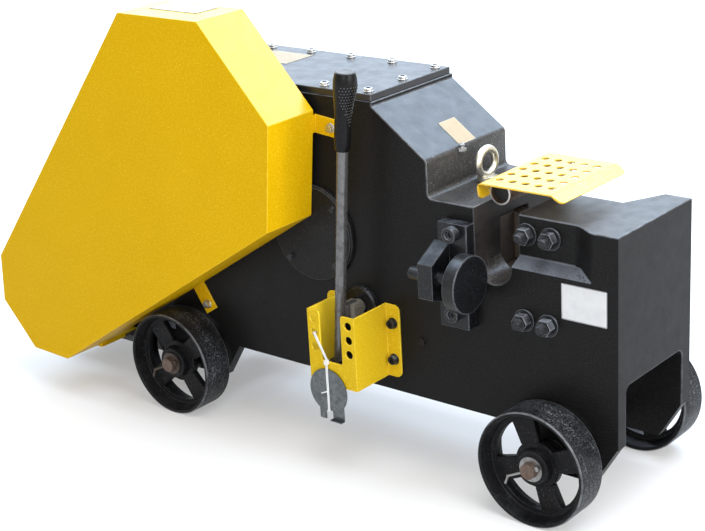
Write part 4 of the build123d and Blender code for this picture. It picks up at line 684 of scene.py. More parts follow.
PLATE_RIM = Metal(
    "plate_rim_metal", "zinc_steel", (0.34, 0.34, 0.35), tint=(0.22, 0.22, 0.23), gloss=(0.30, 0.44))
PLATE_ORANGE = Moulded(
    "bare_orange_plate", "yellow_paint", (0.395, 0.318, 0.205), drift=(0.37, 0.290, 0.18), gloss=(0.36, 0.50),
    depth=0.00002, specular=0.2)
PLATE_BORDER = replace(
    PLATE_ORANGE, name="pale_plate_border", colour=(0.40, 0.355, 0.25), drift=(0.38, 0.335, 0.23))


def merged_copy(node: str) -> Shape:
    """Copy a CAD node's mesh with its corners merged and the triangles of each flat face joined.

    Args:
        node: name of the CAD node.

    Returns:
        A closed mesh of the node.
    """
    shape = bmesh.new()
    shape.faces.layers.float.new("edge_wear_and_highlight")
    shape.from_mesh(frame["nodes"][node].data)
    bmesh.ops.remove_doubles(shape, verts=shape.verts, dist=MERGE_GAP)
    flat = math.radians(FLAT_DEG)
    bmesh.ops.dissolve_limit(shape, angle_limit=flat, verts=shape.verts, edges=shape.edges)
    return shape


def face_depth(face: Face, edge: Edge) -> float:
    """How far a face reaches from one of its edges.

    Args:
        face: the face.
        edge: one of its edges.

    Returns:
        The reach in metres; a face of many corners, such as a ring or a border, counts by its width.
    """
    if len(face.verts) > MANY_CORNERS:
        return 2.0 * face.calc_area() / face.calc_perimeter()
    start = edge.verts[0].co
    way = (edge.verts[1].co - start).normalized()
    return max((vert.co - start).cross(way).length for vert in face.verts)


def has_room(edge: Edge, sharp: set[Edge], width: float) -> bool:
    """Whether a rounding fits beside an edge.

    Args:
        edge: edge to round.
        sharp: all the edges that are to be rounded.
        width: width of the rounding in metres.

    Returns:
        False where it would run into a neighbour or where too many sharp edges meet.
    """
    if any(face_depth(face, edge) < ROOM_BOTH * width for face in edge.link_faces):
        return False
    for vert in edge.verts:
        if sum(other in sharp for other in vert.link_edges) > MOST_EDGES:
            return False
        way = (edge.other_vert(vert).co - vert.co).normalized()
        for other in vert.link_edges:
            if other is edge:
                continue
            along = (other.other_vert(vert).co - vert.co).normalized().dot(way)
            if other in sharp and along < RUNS_ON:
                continue
            if other.calc_length() < (ROOM_BOTH if other in sharp else ROOM_ONE) * width:
                return False
    return True


def soften(shape: Shape, width: float, segments: int = 2,
           where: Callable[[Edge], bool] | None = None, tight: bool = False, marks_rub_and_highlight: bool = True) -> None:
    """Round the sharp edges of a mesh, where there is room, and mark the rounded faces for the rubbed-edge
    colour, which is rubbed paint and a painted highlight.

    Args:
        shape: mesh to change.
        width: width of the rounding in metres.
        segments: faces across the rounding.
        where: keeps the rounding to the edges for which it is true.
        tight: rounds edges that have little room as well.
        marks_rub_and_highlight: marks the rounding for the rubbed-edge colour, which is rubbed paint and a
            painted highlight.
    """
    edge_mark = shape.faces.layers.float.get("edge_wear_and_highlight") or shape.faces.layers.float.new("edge_wear_and_highlight")
    limit = math.radians(SHARP_DEG)
    sharp = {e for e in shape.edges if len(e.link_faces) == 2 and e.calc_face_angle() > limit}
    chosen = [e for e in sharp if (where is None or where(e)) and (tight or has_room(e, sharp, width))]
    made = bmesh.ops.bevel(
        shape, geom=sorted(chosen, key=lambda e: e.index), offset=width, offset_type="OFFSET",
        segments=segments, profile=0.5, affect="EDGES", material=-1, clamp_overlap=False, loop_slide=True)
    for face in made["faces"]:
        face[edge_mark] = 1.0 if marks_rub_and_highlight else 0.0


def in_metres(profile: tuple[Span, ...]) -> list[Span]:
    """Profile that was given in millimetres."""
    return [(radius * MM, height * MM) for radius, height in profile]


def lathe(profile: list[Span], steps: int = 36, ring: bool = False) -> Shape:
    """Turn a profile about Z.

    Args:
        profile: radius and height of its points in metres, from the foot to the tip.
        steps: faces round the axis.
        ring: closes the profile, for a piece with a bore.

    Returns:
        The turned mesh with its poles closed.
    """
    shape = bmesh.new()
    points = [shape.verts.new((radius, 0.0, height)) for radius, height in profile]
    ends = points[1:] + points[:1] if ring else points[1:]
    edges = [shape.edges.new(pair) for pair in zip(points, ends)]
    bmesh.ops.spin(
        shape, geom=points + edges, cent=(0.0, 0.0, 0.0), axis=(0.0, 0.0, 1.0), dvec=(0.0, 0.0, 0.0),
        angle=math.tau, steps=steps, use_merge=True)
    bmesh.ops.remove_doubles(shape, verts=shape.verts, dist=POLE_GAP)
    bmesh.ops.recalc_face_normals(shape, faces=shape.faces)
    return shape


def screw_ridge(radius: float, pitch: float, turns: int) -> Shape:
    """Ridge of a screw thread that winds up the Z axis.

    Args:
        radius: outer radius of the thread.
        pitch: rise of one turn.
        turns: number of turns.

    Returns:
        The ridge as a closed coil.
    """
    shape = bmesh.new()
    root = radius - RIDGE_DEPTH * pitch
    corners = ((root, 0.04), (radius, 0.44), (radius, 0.56), (root, 0.96))
    points = [shape.verts.new((reach, 0.0, share * pitch)) for reach, share in corners]
    edges = [shape.edges.new(pair) for pair in zip(points, points[1:] + points[:1])]
    bmesh.ops.spin(
        shape, geom=points + edges, cent=(0.0, 0.0, 0.0), axis=(0.0, 0.0, 1.0),
        dvec=(0.0, 0.0, pitch / RIDGE_STEPS), angle=math.tau * turns, steps=RIDGE_STEPS * turns,
        use_merge=False)
    bmesh.ops.holes_fill(shape, edges=[e for e in shape.edges if e.is_boundary], sides=0)
    bmesh.ops.recalc_face_normals(shape, faces=shape.faces)
    return shape


def placed(shape: Shape, foot: Vector, way: Vector) -> Shape:
    """Stand a mesh that was made on the Z axis at a place, pointing a given way.

    Args:
        shape: mesh to move.
        foot: where its origin goes.
        way: where its Z axis points.

    Returns:
        The same mesh.
    """
    turn = Facing.UP.way.rotation_difference(way).to_matrix().to_4x4()
    bmesh.ops.transform(shape, matrix=Matrix.Translation(foot) @ turn, verts=shape.verts)
    return shape


def joined(shapes: list[Shape]) -> Shape:
    """Put several meshes into one and use them up.

    Args:
        shapes: the meshes.

    Returns:
        One mesh that holds them all.
    """
    whole = bmesh.new()
    for shape in shapes:
        part = bpy.data.meshes.new("part")
        shape.to_mesh(part)
        shape.free()
        whole.from_mesh(part)
        bpy.data.meshes.remove(part)
    return whole


def solids_of(node: str) -> list[tuple[Vector, Vector]]:
    """Boxes of the separate solids in a CAD node.

    Args:
        node: name of the CAD node.

    Returns:
        The lowest and the highest corner of each solid, in the order of their places.
    """
    shape = merged_copy(node)
    left = set(shape.verts)
    boxes = []
    while left:
        reached = [left.pop()]
        for vert in reached:
            near = {edge.other_vert(vert) for edge in vert.link_edges} & left
            left -= near
            reached.extend(near)
        corners = [tuple(pick(vert.co[i] for vert in reached) for i in range(3)) for pick in (min, max)]
        boxes.append((Vector(corners[0]), Vector(corners[1])))
    shape.free()
    return sorted(boxes, key=lambda box: tuple(box[0]))


@dataclass(frozen=True)
class BarePlate:
    """Thin plate with nothing on it: its name, its sizes in metres, its finishes and its panel's depth."""

    name: str
    width: float
    height: float
    thick: float
    corner: float
    rim: float
    rim_finish: Finish
    panel_finish: Finish
    sunk_share: float = 0.2
    corner_share: float = 0.8

    def build(self) -> Shape:
        """The plate flat on the XY plane, with round corners and a raised rim round its panel.

        Returns:
            The plate's mesh.
        """
        shape = bmesh.new()
        size = Matrix.Diagonal((self.width, self.height, self.thick, 1.0))
        bmesh.ops.create_cube(shape, size=1.0, matrix=Matrix.Translation((0.0, 0.0, self.thick / 2)) @ size)
        uprights = [e for e in shape.edges if abs(e.verts[0].co.z - e.verts[1].co.z) > self.thick / 2]
        panel = max(shape.faces, key=lambda face: face.calc_center_median().z)
        sunk = self.sunk_share * self.thick
        bmesh.ops.inset_individual(shape, faces=[panel], thickness=self.rim, depth=-sunk)
        panel.material_index = 1
        bmesh.ops.bevel(
            shape, geom=uprights, offset=min(self.corner, self.corner_share * self.rim), offset_type="OFFSET",
            segments=5, profile=0.5, affect="EDGES", material=-1)
        return shape

    def fix(self, node: str, foot: Vector, way: Vector) -> None:
        """Add the plate as a piece that rides with a CAD node.

        Args:
            node: node that carries it.
            foot: middle of its back.
            way: where its panel faces.
        """
        shape = placed(self.build(), foot, way)
        add_piece(self.name, shape, body_of(node), self.rim_finish, self.panel_finish, angle=PLATE_CRISP_DEG)


@dataclass(frozen=True)
class BoltHead:
    """Sizes of a bolt head in metres, with its socket, rounding and chamfer as shares of the head."""

    kind: HeadKind
    flange_r: float
    flange_t: float
    head_r: float
    height: float
    flange_edge: float = 0.4 * MM
    seat_share: float = 0.5
    round_share: float = 0.12
    socket_share: float = 0.66
    socket_depth: float = 0.55
    chamfer_share: float = 0.14
    side_cuts: int = 5

    def build(self) -> Shape:
        """The head on its washer or flange, standing on the XY plane.

        Returns:
            The head's mesh.
        """
        rim = min(self.flange_edge, self.flange_t / 3)
        wide, thick = self.flange_r, self.flange_t
        washer = lathe([
            (0.0, 0.0), (wide - rim, 0.0), (wide, rim), (wide, thick - rim), (wide - rim, thick),
            (0.0, thick)])
        return joined([washer, self.socket() if self.kind is HeadKind.SOCKET else self.hexagon()])

    def socket(self) -> Shape:
        """Round head with a hexagon socket.

        Returns:
            Its mesh; the socket has the second finish.
        """
        low, top = self.seat_share * self.flange_t, self.height
        wide, edge = self.head_r, self.round_share * self.head_r
        shape = lathe([(0.0, low), (wide, low), (wide, top - edge), (wide - edge, top)])
        rim = [e for e in shape.edges if e.is_boundary]
        bmesh.ops.create_circle(
            shape, segments=6, radius=self.socket_share * wide, matrix=Matrix.Translation((0.0, 0.0, top)))
        sides = [e for e in shape.edges if e.is_wire]
        bmesh.ops.subdivide_edges(shape, edges=sides, cuts=self.side_cuts)
        sides = [e for e in shape.edges if e.is_wire]
        bmesh.ops.bridge_loops(shape, edges=rim + sides)
        wall = bmesh.ops.extrude_edge_only(shape, edges=sides)["geom"]
        floor = [item for item in wall if isinstance(item, bmesh.types.BMVert)]
        bmesh.ops.translate(shape, verts=floor, vec=(0.0, 0.0, -self.socket_depth * (top - low)))
        bmesh.ops.edgeloop_fill(shape, edges=[item for item in wall if isinstance(item, Edge)])
        bmesh.ops.recalc_face_normals(shape, faces=shape.faces)
        for face in {face for vert in floor for face in vert.link_faces}:
            face.material_index = 1
        return shape

    def hexagon(self) -> Shape:
        """Hexagon head with its top edges broken.

        Returns:
            Its mesh.
        """
        low = self.seat_share * self.flange_t
        middle = Matrix.Translation((0.0, 0.0, (low + self.height) / 2))
        shape = bmesh.new()
        bmesh.ops.create_cone(
            shape, cap_ends=True, segments=6, radius1=self.head_r, radius2=self.head_r,
            depth=self.height - low, matrix=middle)
        top = [e for e in shape.edges if min(vert.co.z for vert in e.verts) > self.height - LEVEL_GAP]
        bmesh.ops.bevel(
            shape, geom=top, offset=self.chamfer_share * self.head_r, offset_type="OFFSET", segments=2,
            profile=0.5, affect="EDGES", material=-1)
        return shape


def add_piece(name: str, shape: Shape, body: str, *finishes: Finish,
              angle: float = CRISP_DEG) -> bpy.types.Object:
    """Turn a mesh into an object with its finishes, smooth where it curves, riding on a body.

    Args:
        name: name of the piece.
        shape: its mesh, which is used up.
        body: body that it moves with.
        finishes: what it is made of, in the order of its faces' material numbers.
        angle: angle in degrees above which an edge stays crisp.

    Returns:
        The new object.
    """
    for edge in shape.edges:
        edge.smooth = len(edge.link_faces) == 2 and edge.calc_face_angle() < math.radians(angle)
    for face in shape.faces:
        face.smooth = True
    mesh = bpy.data.meshes.new(name)
    shape.to_mesh(mesh)
    shape.free()
    for finish in finishes:
        mesh.materials.append(finish.material())
    piece = bpy.data.objects.new(name, mesh)
    bpy.context.scene.collection.objects.link(piece)
    even = piece.modifiers.new("even_shading", "WEIGHTED_NORMAL")
    even.keep_sharp = True
    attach(piece, body)
    LOG.info("%s on %s: %d faces", name, body, len(mesh.polygons))
    return piece


class SubAssembly:
    """Pieces that belong together on the machine."""

    def stand_in(self, node: str, shape: Shape, *finishes: Finish, skin: Skin | None = None) -> None:
        """Let a mesh stand for a CAD node.

        Args:
            node: the node's name.
            shape: mesh that shows instead of it.
            finishes: what it is made of.
            skin: gives the number of a face's finish; without it the faces keep theirs.
        """
        for face in shape.faces if skin else ():
            face.material_index = skin(face)
        piece = add_piece(f"{node}_dressed", shape, body_of(node), *finishes)
        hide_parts(node)

    def dress(self, node: str, width: float, *finishes: Finish, segments: int = 2,
              skin: Skin | None = None) -> None:
        """Stand a softened copy with its finishes in for a CAD node.

        Args:
            node: the node's name.
            width: rounding of its edges in metres.
            finishes: what it is made of.
            segments: faces across the rounding.
            skin: gives the number of a face's finish, where there are several.
        """
        shape = merged_copy(node)
        soften(shape, width, segments)
        self.stand_in(node, shape, *finishes, skin=skin)

    def bolts(self, node: str, head: BoltHead, finish: Finish) -> None:
        """Stand detailed heads in for a node of plain bolt heads, each on the face that carries it.

        Args:
            node: node of plain heads.
            head: the head's shape.
            finish: what the bolts are made of; their sockets take a dark steel as painted shade.
        """
        heads = []
        for low, high in solids_of(node):
            middle, size = (low + high) / 2, high - low
            if size.z < size.y:
                foot, facing = Vector((middle.x, middle.y, low.z)), Facing.UP
            elif middle.y < 0.0:
                foot, facing = Vector((middle.x, high.y, middle.z)), Facing.FRONT
            else:
                foot, facing = Vector((middle.x, low.y, middle.z)), Facing.BACK
            heads.append(placed(head.build(), foot, facing.way))
        self.stand_in(node, joined(heads), finish, SOCKET_PAINTED_SHADE)

    def build(self) -> None:
        """Make and dress the sub-assembly's pieces."""
        raise NotImplementedError


def body_of(node: str) -> str:
    """Name of the body that carries a CAD node."""
    return frame["nodes"][node]["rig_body"]


def seen_rays(tree: bpy.types.NodeTree) -> Socket:
    """1 for rays that show the background: straight to the camera, reflected or let through.

    Args:
        tree: node tree that asks.

    Returns:
        The output that holds 0 or 1.
    """
    path = tree.nodes.new("ShaderNodeLightPath")
    seen = path.outputs["Is Camera Ray"]
    for kind in ("Is Glossy Ray", "Is Transmission Ray"):
        either = tree.nodes.new("ShaderNodeMath")
        either.operation = "MAXIMUM"
        tree.links.new(seen, either.inputs[0])
        tree.links.new(path.outputs[kind], either.inputs[1])
        seen = either.outputs["Value"]
    return seen


@dataclass
class Studio:
    """Camera at the photograph's place, soft studio light and a plain pale floor."""

    place: Point = (1.7450, -2.0192, 1.2273)
    forward: Point = (-0.606665, 0.719595, -0.337848)
    roll_deg: float = 3.27
    lens: float = 84.57
    sensor: float = 36.0
    aim: Point = (0.0, 0.0, 0.45)
    floor_size: float = 30.0
    floor_tone: Colour = (0.54, 0.54, 0.54)
    floor_drift: Colour = (0.56, 0.56, 0.56)
    floor_glow: float = 0.30
    far_glow: float = 0.55
    glow_span: Span = (0.6, 2.2)
    world_lamp: float = 0.56
    sky_tint: Colour = (0.61, 0.78, 1.0)
    plain_tint: Colour = (1.0, 1.0, 1.0)

    def build(self) -> None:
        """Set up the camera, the lamps, the world and the floor."""
        self.add_camera()
        self.add_world()
        self.add_lamps()
        self.add_floor()
        bpy.context.scene.view_settings.view_transform = "Standard"

    def add_camera(self) -> None:
        """Camera turned to the photograph's view, with its slight roll."""
        ahead = Vector(self.forward).normalized()
        level = ahead.cross(Facing.UP.way).normalized()
        upright = level.cross(ahead)
        roll = math.radians(self.roll_deg)
        right = math.cos(roll) * level - math.sin(roll) * upright
        up = math.cos(roll) * upright + math.sin(roll) * level
        data = bpy.data.cameras.new("camera")
        data.lens = self.lens
        data.sensor_width = self.sensor
        camera = bpy.data.objects.new("camera", data)
        turn = Matrix((right, up, -ahead)).transposed().to_4x4()
        camera.matrix_world = Matrix.Translation(self.place) @ turn
        bpy.context.scene.collection.objects.link(camera)
        bpy.context.scene.camera = camera

    def add_world(self) -> None:
        """White surroundings for the camera and for reflections, dimmer as a lamp."""
        world = bpy.data.worlds.new("studio")
        world.use_nodes = True
        nodes, links = world.node_tree.nodes, world.node_tree.links
        level = nodes.new("ShaderNodeMapRange")
        level.inputs["To Min"].default_value = self.world_lamp
        level.inputs["To Max"].default_value = 1.0
        links.new(seen_rays(world.node_tree), level.inputs["Value"])
        back = nodes["Background"]
        back.inputs["Color"].default_value = (1.0, 1.0, 1.0, 1.0)
        links.new(level.outputs["Result"], back.inputs["Strength"])
        bpy.context.scene.world = world

    def add_lamp(self, name: str, place: Point, size: Span, power: float, tint: Colour) -> None:
        """Rectangular soft lamp that faces the machine's middle.

        Args:
            name: name of the lamp.
            place: where it hangs.
            size: width and height in metres.
            power: watts.
            tint: colour of its light.
        """
        data = bpy.data.lights.new(name, "AREA")
        data.color = tint
        data.shape = "RECTANGLE"
        data.size, data.size_y = size
        data.energy = power
        lamp = bpy.data.objects.new(name, data)
        look = Vector(self.aim) - Vector(place)
        lamp.matrix_world = Matrix.Translation(place) @ look.to_track_quat("-Z", "Y").to_matrix().to_4x4()
        lamp.visible_camera = False
        bpy.context.scene.collection.objects.link(lamp)

    def add_lamps(self) -> None:
        """Cool panels behind and at the left, plain ones above, at the cutting end and in front."""
        self.add_lamp("sky_panel", (0.70, 2.60, 3.00), (2.4, 1.8), 106.0, self.sky_tint)
        self.add_lamp("back_panel", (-2.10, 2.50, 1.80), (3.2, 2.2), 56.0, self.sky_tint)
        self.add_lamp("left_sky", (-1.70, 0.10, 2.80), (1.7, 1.7), 55.0, self.sky_tint)
        self.add_lamp("overhead", (1.30, -0.50, 3.30), (2.4, 2.2), 80.0, self.plain_tint)
        self.add_lamp("end_light", (3.60, -0.40, 1.50), (2.4, 2.2), 92.0, self.plain_tint)
        self.add_lamp("front_light", (1.70, -3.60, 2.00), (2.4, 2.4), 52.0, self.plain_tint)

    def add_floor(self) -> None:
        """Pale floor that shows white to the camera and keeps the shadow."""
        shape = bmesh.new()
        bmesh.ops.create_grid(shape, x_segments=2, y_segments=2, size=self.floor_size)
        mesh = bpy.data.meshes.new("floor")
        shape.to_mesh(mesh)
        shape.free()
        floor = bpy.data.objects.new("floor", mesh)
        bpy.context.scene.collection.objects.link(floor)
        mesh.materials.append(self.floor_material())

    def floor_material(self) -> Material:
        """Matt pale floor, lifted to white where the camera sees it lit.

        Returns:
            The floor's material.
        """
        shader = Shader("pale_floor")
        tone = shader.mix(shader.spread(shader.noise(3.0), 0.0, 1.0), self.floor_tone, self.floor_drift)
        reach = shader.hypot(shader.axis("X"), shader.axis("Y"))
        level = shader.sums("ADD", shader.band(reach, *self.glow_span, self.far_glow), self.floor_glow)
        glow = shader.sums("MULTIPLY", level, seen_rays(shader.material.node_tree))
        shader.feed(shader.surface.inputs["Emission Color"], self.plain_tint)
        shader.feed(shader.surface.inputs["Emission Strength"], glow)
        return shader.finish(tone, roughness=0.9, normal=None, specular=0.1)


def height_at(node: str, x: float, y: float) -> tuple[Vector, Vector]:
    """Find a CAD node's upper surface below a point.

    Args:
        node: name of the CAD node.
        x: place along X.
        y: place along Y.

    Returns:
        The point on the surface and the surface's normal there.
    """
    shape = merged_copy(node)
    point, normal, _, _ = BVHTree.FromBMesh(shape).ray_cast(Vector((x, y, SKY_Z)), -Facing.UP.way)
    shape.free()
    return point, normal


@dataclass
class Casting(SubAssembly):
    """Cast body with its throat, ledge and jaw, and the bare plates fixed to it."""

    edge: float = 2.0 * MM
    under_z: float = 0.135
    recess_edge: float = 8.0 * MM
    recess_height: float = 0.030
    recess_tilt: float = 0.2
    ledge_tilt: float = -0.5
    recess_low: Point = (0.440, 0.080, 0.375)
    recess_high: Point = (0.600, 0.1075, 0.4605)
    ledge_low: Point = (0.275, -0.108, 0.455)
    ledge_high: Point = (0.376, 0.108, 0.535)
    jaw_plate: BarePlate = BarePlate(
        "jaw_plate", 0.077, 0.056, 1.2 * MM, 2.5 * MM, 2.2 * MM, PLATE_RIM, PLATE_WHITE)
    jaw_plate_at: Point = (0.5655, -0.107, 0.348)
    slope_plate: BarePlate = BarePlate(
        "slope_plate", 0.050, 0.0426, 0.6 * MM, 1.5 * MM, 2.6 * MM, PLATE_BORDER, PLATE_ORANGE)
    slope_plate_at: Span = (0.2655, 0.0067)
    slide_low: Point = (0.200, -0.070, 0.280)
    slide_high: Point = (0.3742, 0.070, 0.445)
    plug: Point = (0.2685, -0.107, 0.227)
    plug_head: BoltHead = BoltHead(HeadKind.HEXAGON, 8.2 * MM, 1.0 * MM, 7.0 * MM, 4.5 * MM)

    def build(self) -> None:
        """Dress the body, then add its plug screw and plates."""
        shape = merged_copy("body")
        soften(shape, self.recess_edge, segments=5, where=self.recess_side, tight=True, marks_rub_and_highlight=False)
        soften(shape, self.edge, segments=3, where=self.above_feet)
        finishes = (BODY_SHADED_WALL_BLACK, BODY_LIT_TOP_BLACK, GRIT_BLACK, RECESS_LIT_FLOOR_BLACK, RAM_STEEL)
        self.stand_in("body", shape, *finishes, skin=self.skin_of)
        plug = placed(self.plug_head.build(), Vector(self.plug), Facing.FRONT.way)
        add_piece("wall_plug_screw", plug, body_of("body"), CAP_BLACK)
        self.jaw_plate.fix("body", Vector(self.jaw_plate_at), Facing.FRONT.way)
        self.slope_plate.fix("body", *height_at("body", *self.slope_plate_at))

    def skin_of(self, face: Face) -> int:
        """Number of the finish on a face of the body.

        Args:
            face: the face.

        Returns:
            One of the body's skins.
        """
        spot = face.calc_center_median()
        if self.inside(spot, self.slide_low, self.slide_high):
            return BodySkin.SLIDEWAY
        if face.normal.z > self.recess_tilt and self.inside(spot, self.recess_low, self.recess_high):
            return BodySkin.RECESS
        if face.normal.y > self.ledge_tilt and self.inside(spot, self.ledge_low, self.ledge_high):
            return BodySkin.LEDGE
        # upper faces take the lighter painted-light copy of the body black, and the other faces take the
        # darker painted-shade copy
        return BodySkin.TOP if face.normal.z > LOOKS_UP else BodySkin.WALL

    def inside(self, spot: Vector, low: Point, high: Point) -> bool:
        """Whether a point lies in a box; a box of one side alone also stands for the other side."""
        across = abs(spot.y) if low[1] > 0.0 else spot.y
        return all(a <= value <= b for a, value, b in zip(low, (spot.x, across, spot.z), high))

    def above_feet(self, edge: Edge) -> bool:
        """Whether an edge reaches above the body's underside."""
        return max(vert.co.z for vert in edge.verts) > self.under_z

    def recess_side(self, edge: Edge) -> bool:
        """Whether an edge is a long upright one of the recess in the front of the jaw.

        Args:
            edge: the edge.

        Returns:
            True on such an edge.
        """
        ends = [vert.co for vert in edge.verts]
        upright = abs(ends[0].z - ends[1].z) > self.recess_height and ends[0].y < 0.0
        return upright and all(self.inside(end, self.recess_low, self.recess_high) for end in ends)


@dataclass
class TopCover(SubAssembly):
    """Flat cover over the gear chamber with its bolt heads and a bare plate."""

    edge: float = 1.4 * MM
    head: BoltHead = BoltHead(HeadKind.SOCKET, 8.2 * MM, 1.4 * MM, 7.0 * MM, 5.4 * MM)
    plate: BarePlate = BarePlate(
        "cover_plate", 0.087, 0.070, 0.6 * MM, 2.0 * MM, 7.0 * MM, PLATE_BORDER, PLATE_ORANGE)
    plate_at: Span = (-0.1185, 0.032)

    def build(self) -> None:
        """Dress the cover and its bolts, and lay the plate on it."""
        self.dress("top_cover", self.edge, COVER_BLACK, segments=3)
        self.bolts("cover_bolts", self.head, ZINC)
        self.plate.fix("top_cover", Vector((*self.plate_at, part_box("top_cover")[1][2])), Facing.UP.way)


@dataclass
class BeltGuard(SubAssembly):
    """Sheet guard over the belt drive with a bare riveted plate on its top."""

    edge: float = 0.9 * MM
    head: BoltHead = BoltHead(HeadKind.HEXAGON, 8.0 * MM, 1.8 * MM, 7.0 * MM, 8.0 * MM)
    plate: BarePlate = BarePlate(
        "guard_plate", 0.106, 0.052, 0.9 * MM, 3.0 * MM, 2.4 * MM, PLATE_RIM, PLATE_PALE)
    plate_at: Span = (-0.153, -0.152)
    rivet_inset: float = 4.5 * MM
    dome: tuple[Span, ...] = ((0.0, 0.0), (2.0, 0.0), (2.0, 1.0), (1.6, 1.6), (0.9, 1.9), (0.0, 2.0))

    def build(self) -> None:
        """Dress the guard and its bolts, and rivet the plate to it."""
        self.dress("belt_guard", self.edge, GUARD_YELLOW, GUARD_LIT_TOP_YELLOW, skin=self.on_top)
        self.bolts("guard_bolts", self.head, ZINC)
        foot = Vector((*self.plate_at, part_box("belt_guard")[1][2]))
        self.plate.fix("belt_guard", foot, Facing.UP.way)
        inset = Vector((self.rivet_inset, self.rivet_inset, 0.0))
        reach = Vector((self.plate.width / 2, self.plate.height / 2, 0.0)) - inset
        sides = [Vector((side, end, 0.0)) for side in (-1.0, 1.0) for end in (-1.0, 1.0)]
        rivets = [self.rivet(foot + side * reach) for side in sides]
        add_piece("guard_plate_rivets", joined(rivets), body_of("belt_guard"), ZINC)

    def on_top(self, face: Face) -> int:
        """1 on the guard's upper faces and 0 elsewhere."""
        return int(face.normal.z > LOOKS_UP)

    def rivet(self, foot: Vector) -> Shape:
        """Domed rivet head on the plate."""
        return placed(lathe(in_metres(self.dome), steps=16), foot, Facing.UP.way)


@dataclass
class Drive(SubAssembly):
    """Belts, flywheel, gears, crank and ram."""

    plain: dict[str, Finish] = field(default_factory=lambda: {
        "crank_caps": CAP_BLACK, "shaft_caps": CAP_BLACK, "crank_bushes": BRONZE, "shaft_bushes": BRONZE,
        "crankshaft": MACHINE_STEEL, "slider_block": BRONZE, "ram": RAM_STEEL, "moving_blade": BLADE_STEEL,
        "blade_screw": BLACK_STEEL, "fixed_blade": BLADE_STEEL, "input_shaft": MACHINE_STEEL,
        "flywheel": CAST_IRON, "idler_shaft": MACHINE_STEEL, "idler_gear": MACHINE_STEEL,
        "clutch_gear": MACHINE_STEEL, "drive_belts": BELT_RUBBER, "motor_pulley": CAST_IRON})
    edge: float = 0.6 * MM
    head: BoltHead = BoltHead(HeadKind.HEXAGON, 6.5 * MM, 1.0 * MM, 5.6 * MM, 5.0 * MM)

    def build(self) -> None:
        """Dress the drive's pieces and the bolts of its caps."""
        for node, finish in self.plain.items():
            self.dress(node, self.edge, finish)
        self.bolts("cap_bolts", self.head, BLACK_STEEL)


@dataclass
class Motor(SubAssembly):
    """Motor with its base."""

    plain: dict[str, Finish] = field(default_factory=lambda: {
        "motor_frame": MOTOR_BLACK, "motor_shields": MOTOR_BLACK, "motor_stator": MACHINE_STEEL,
        "motor_rotor": MACHINE_STEEL, "motor_fan": BLACK_STEEL, "fan_cover": MOTOR_BLACK,
        "terminal_box": MOTOR_BLACK, "motor_bolts": ZINC, "motor_base": FITTING_BLACK})
    edge: float = 0.7 * MM

    def build(self) -> None:
        """Dress the motor's pieces."""
        for node, finish in self.plain.items():
            self.dress(node, self.edge, finish)


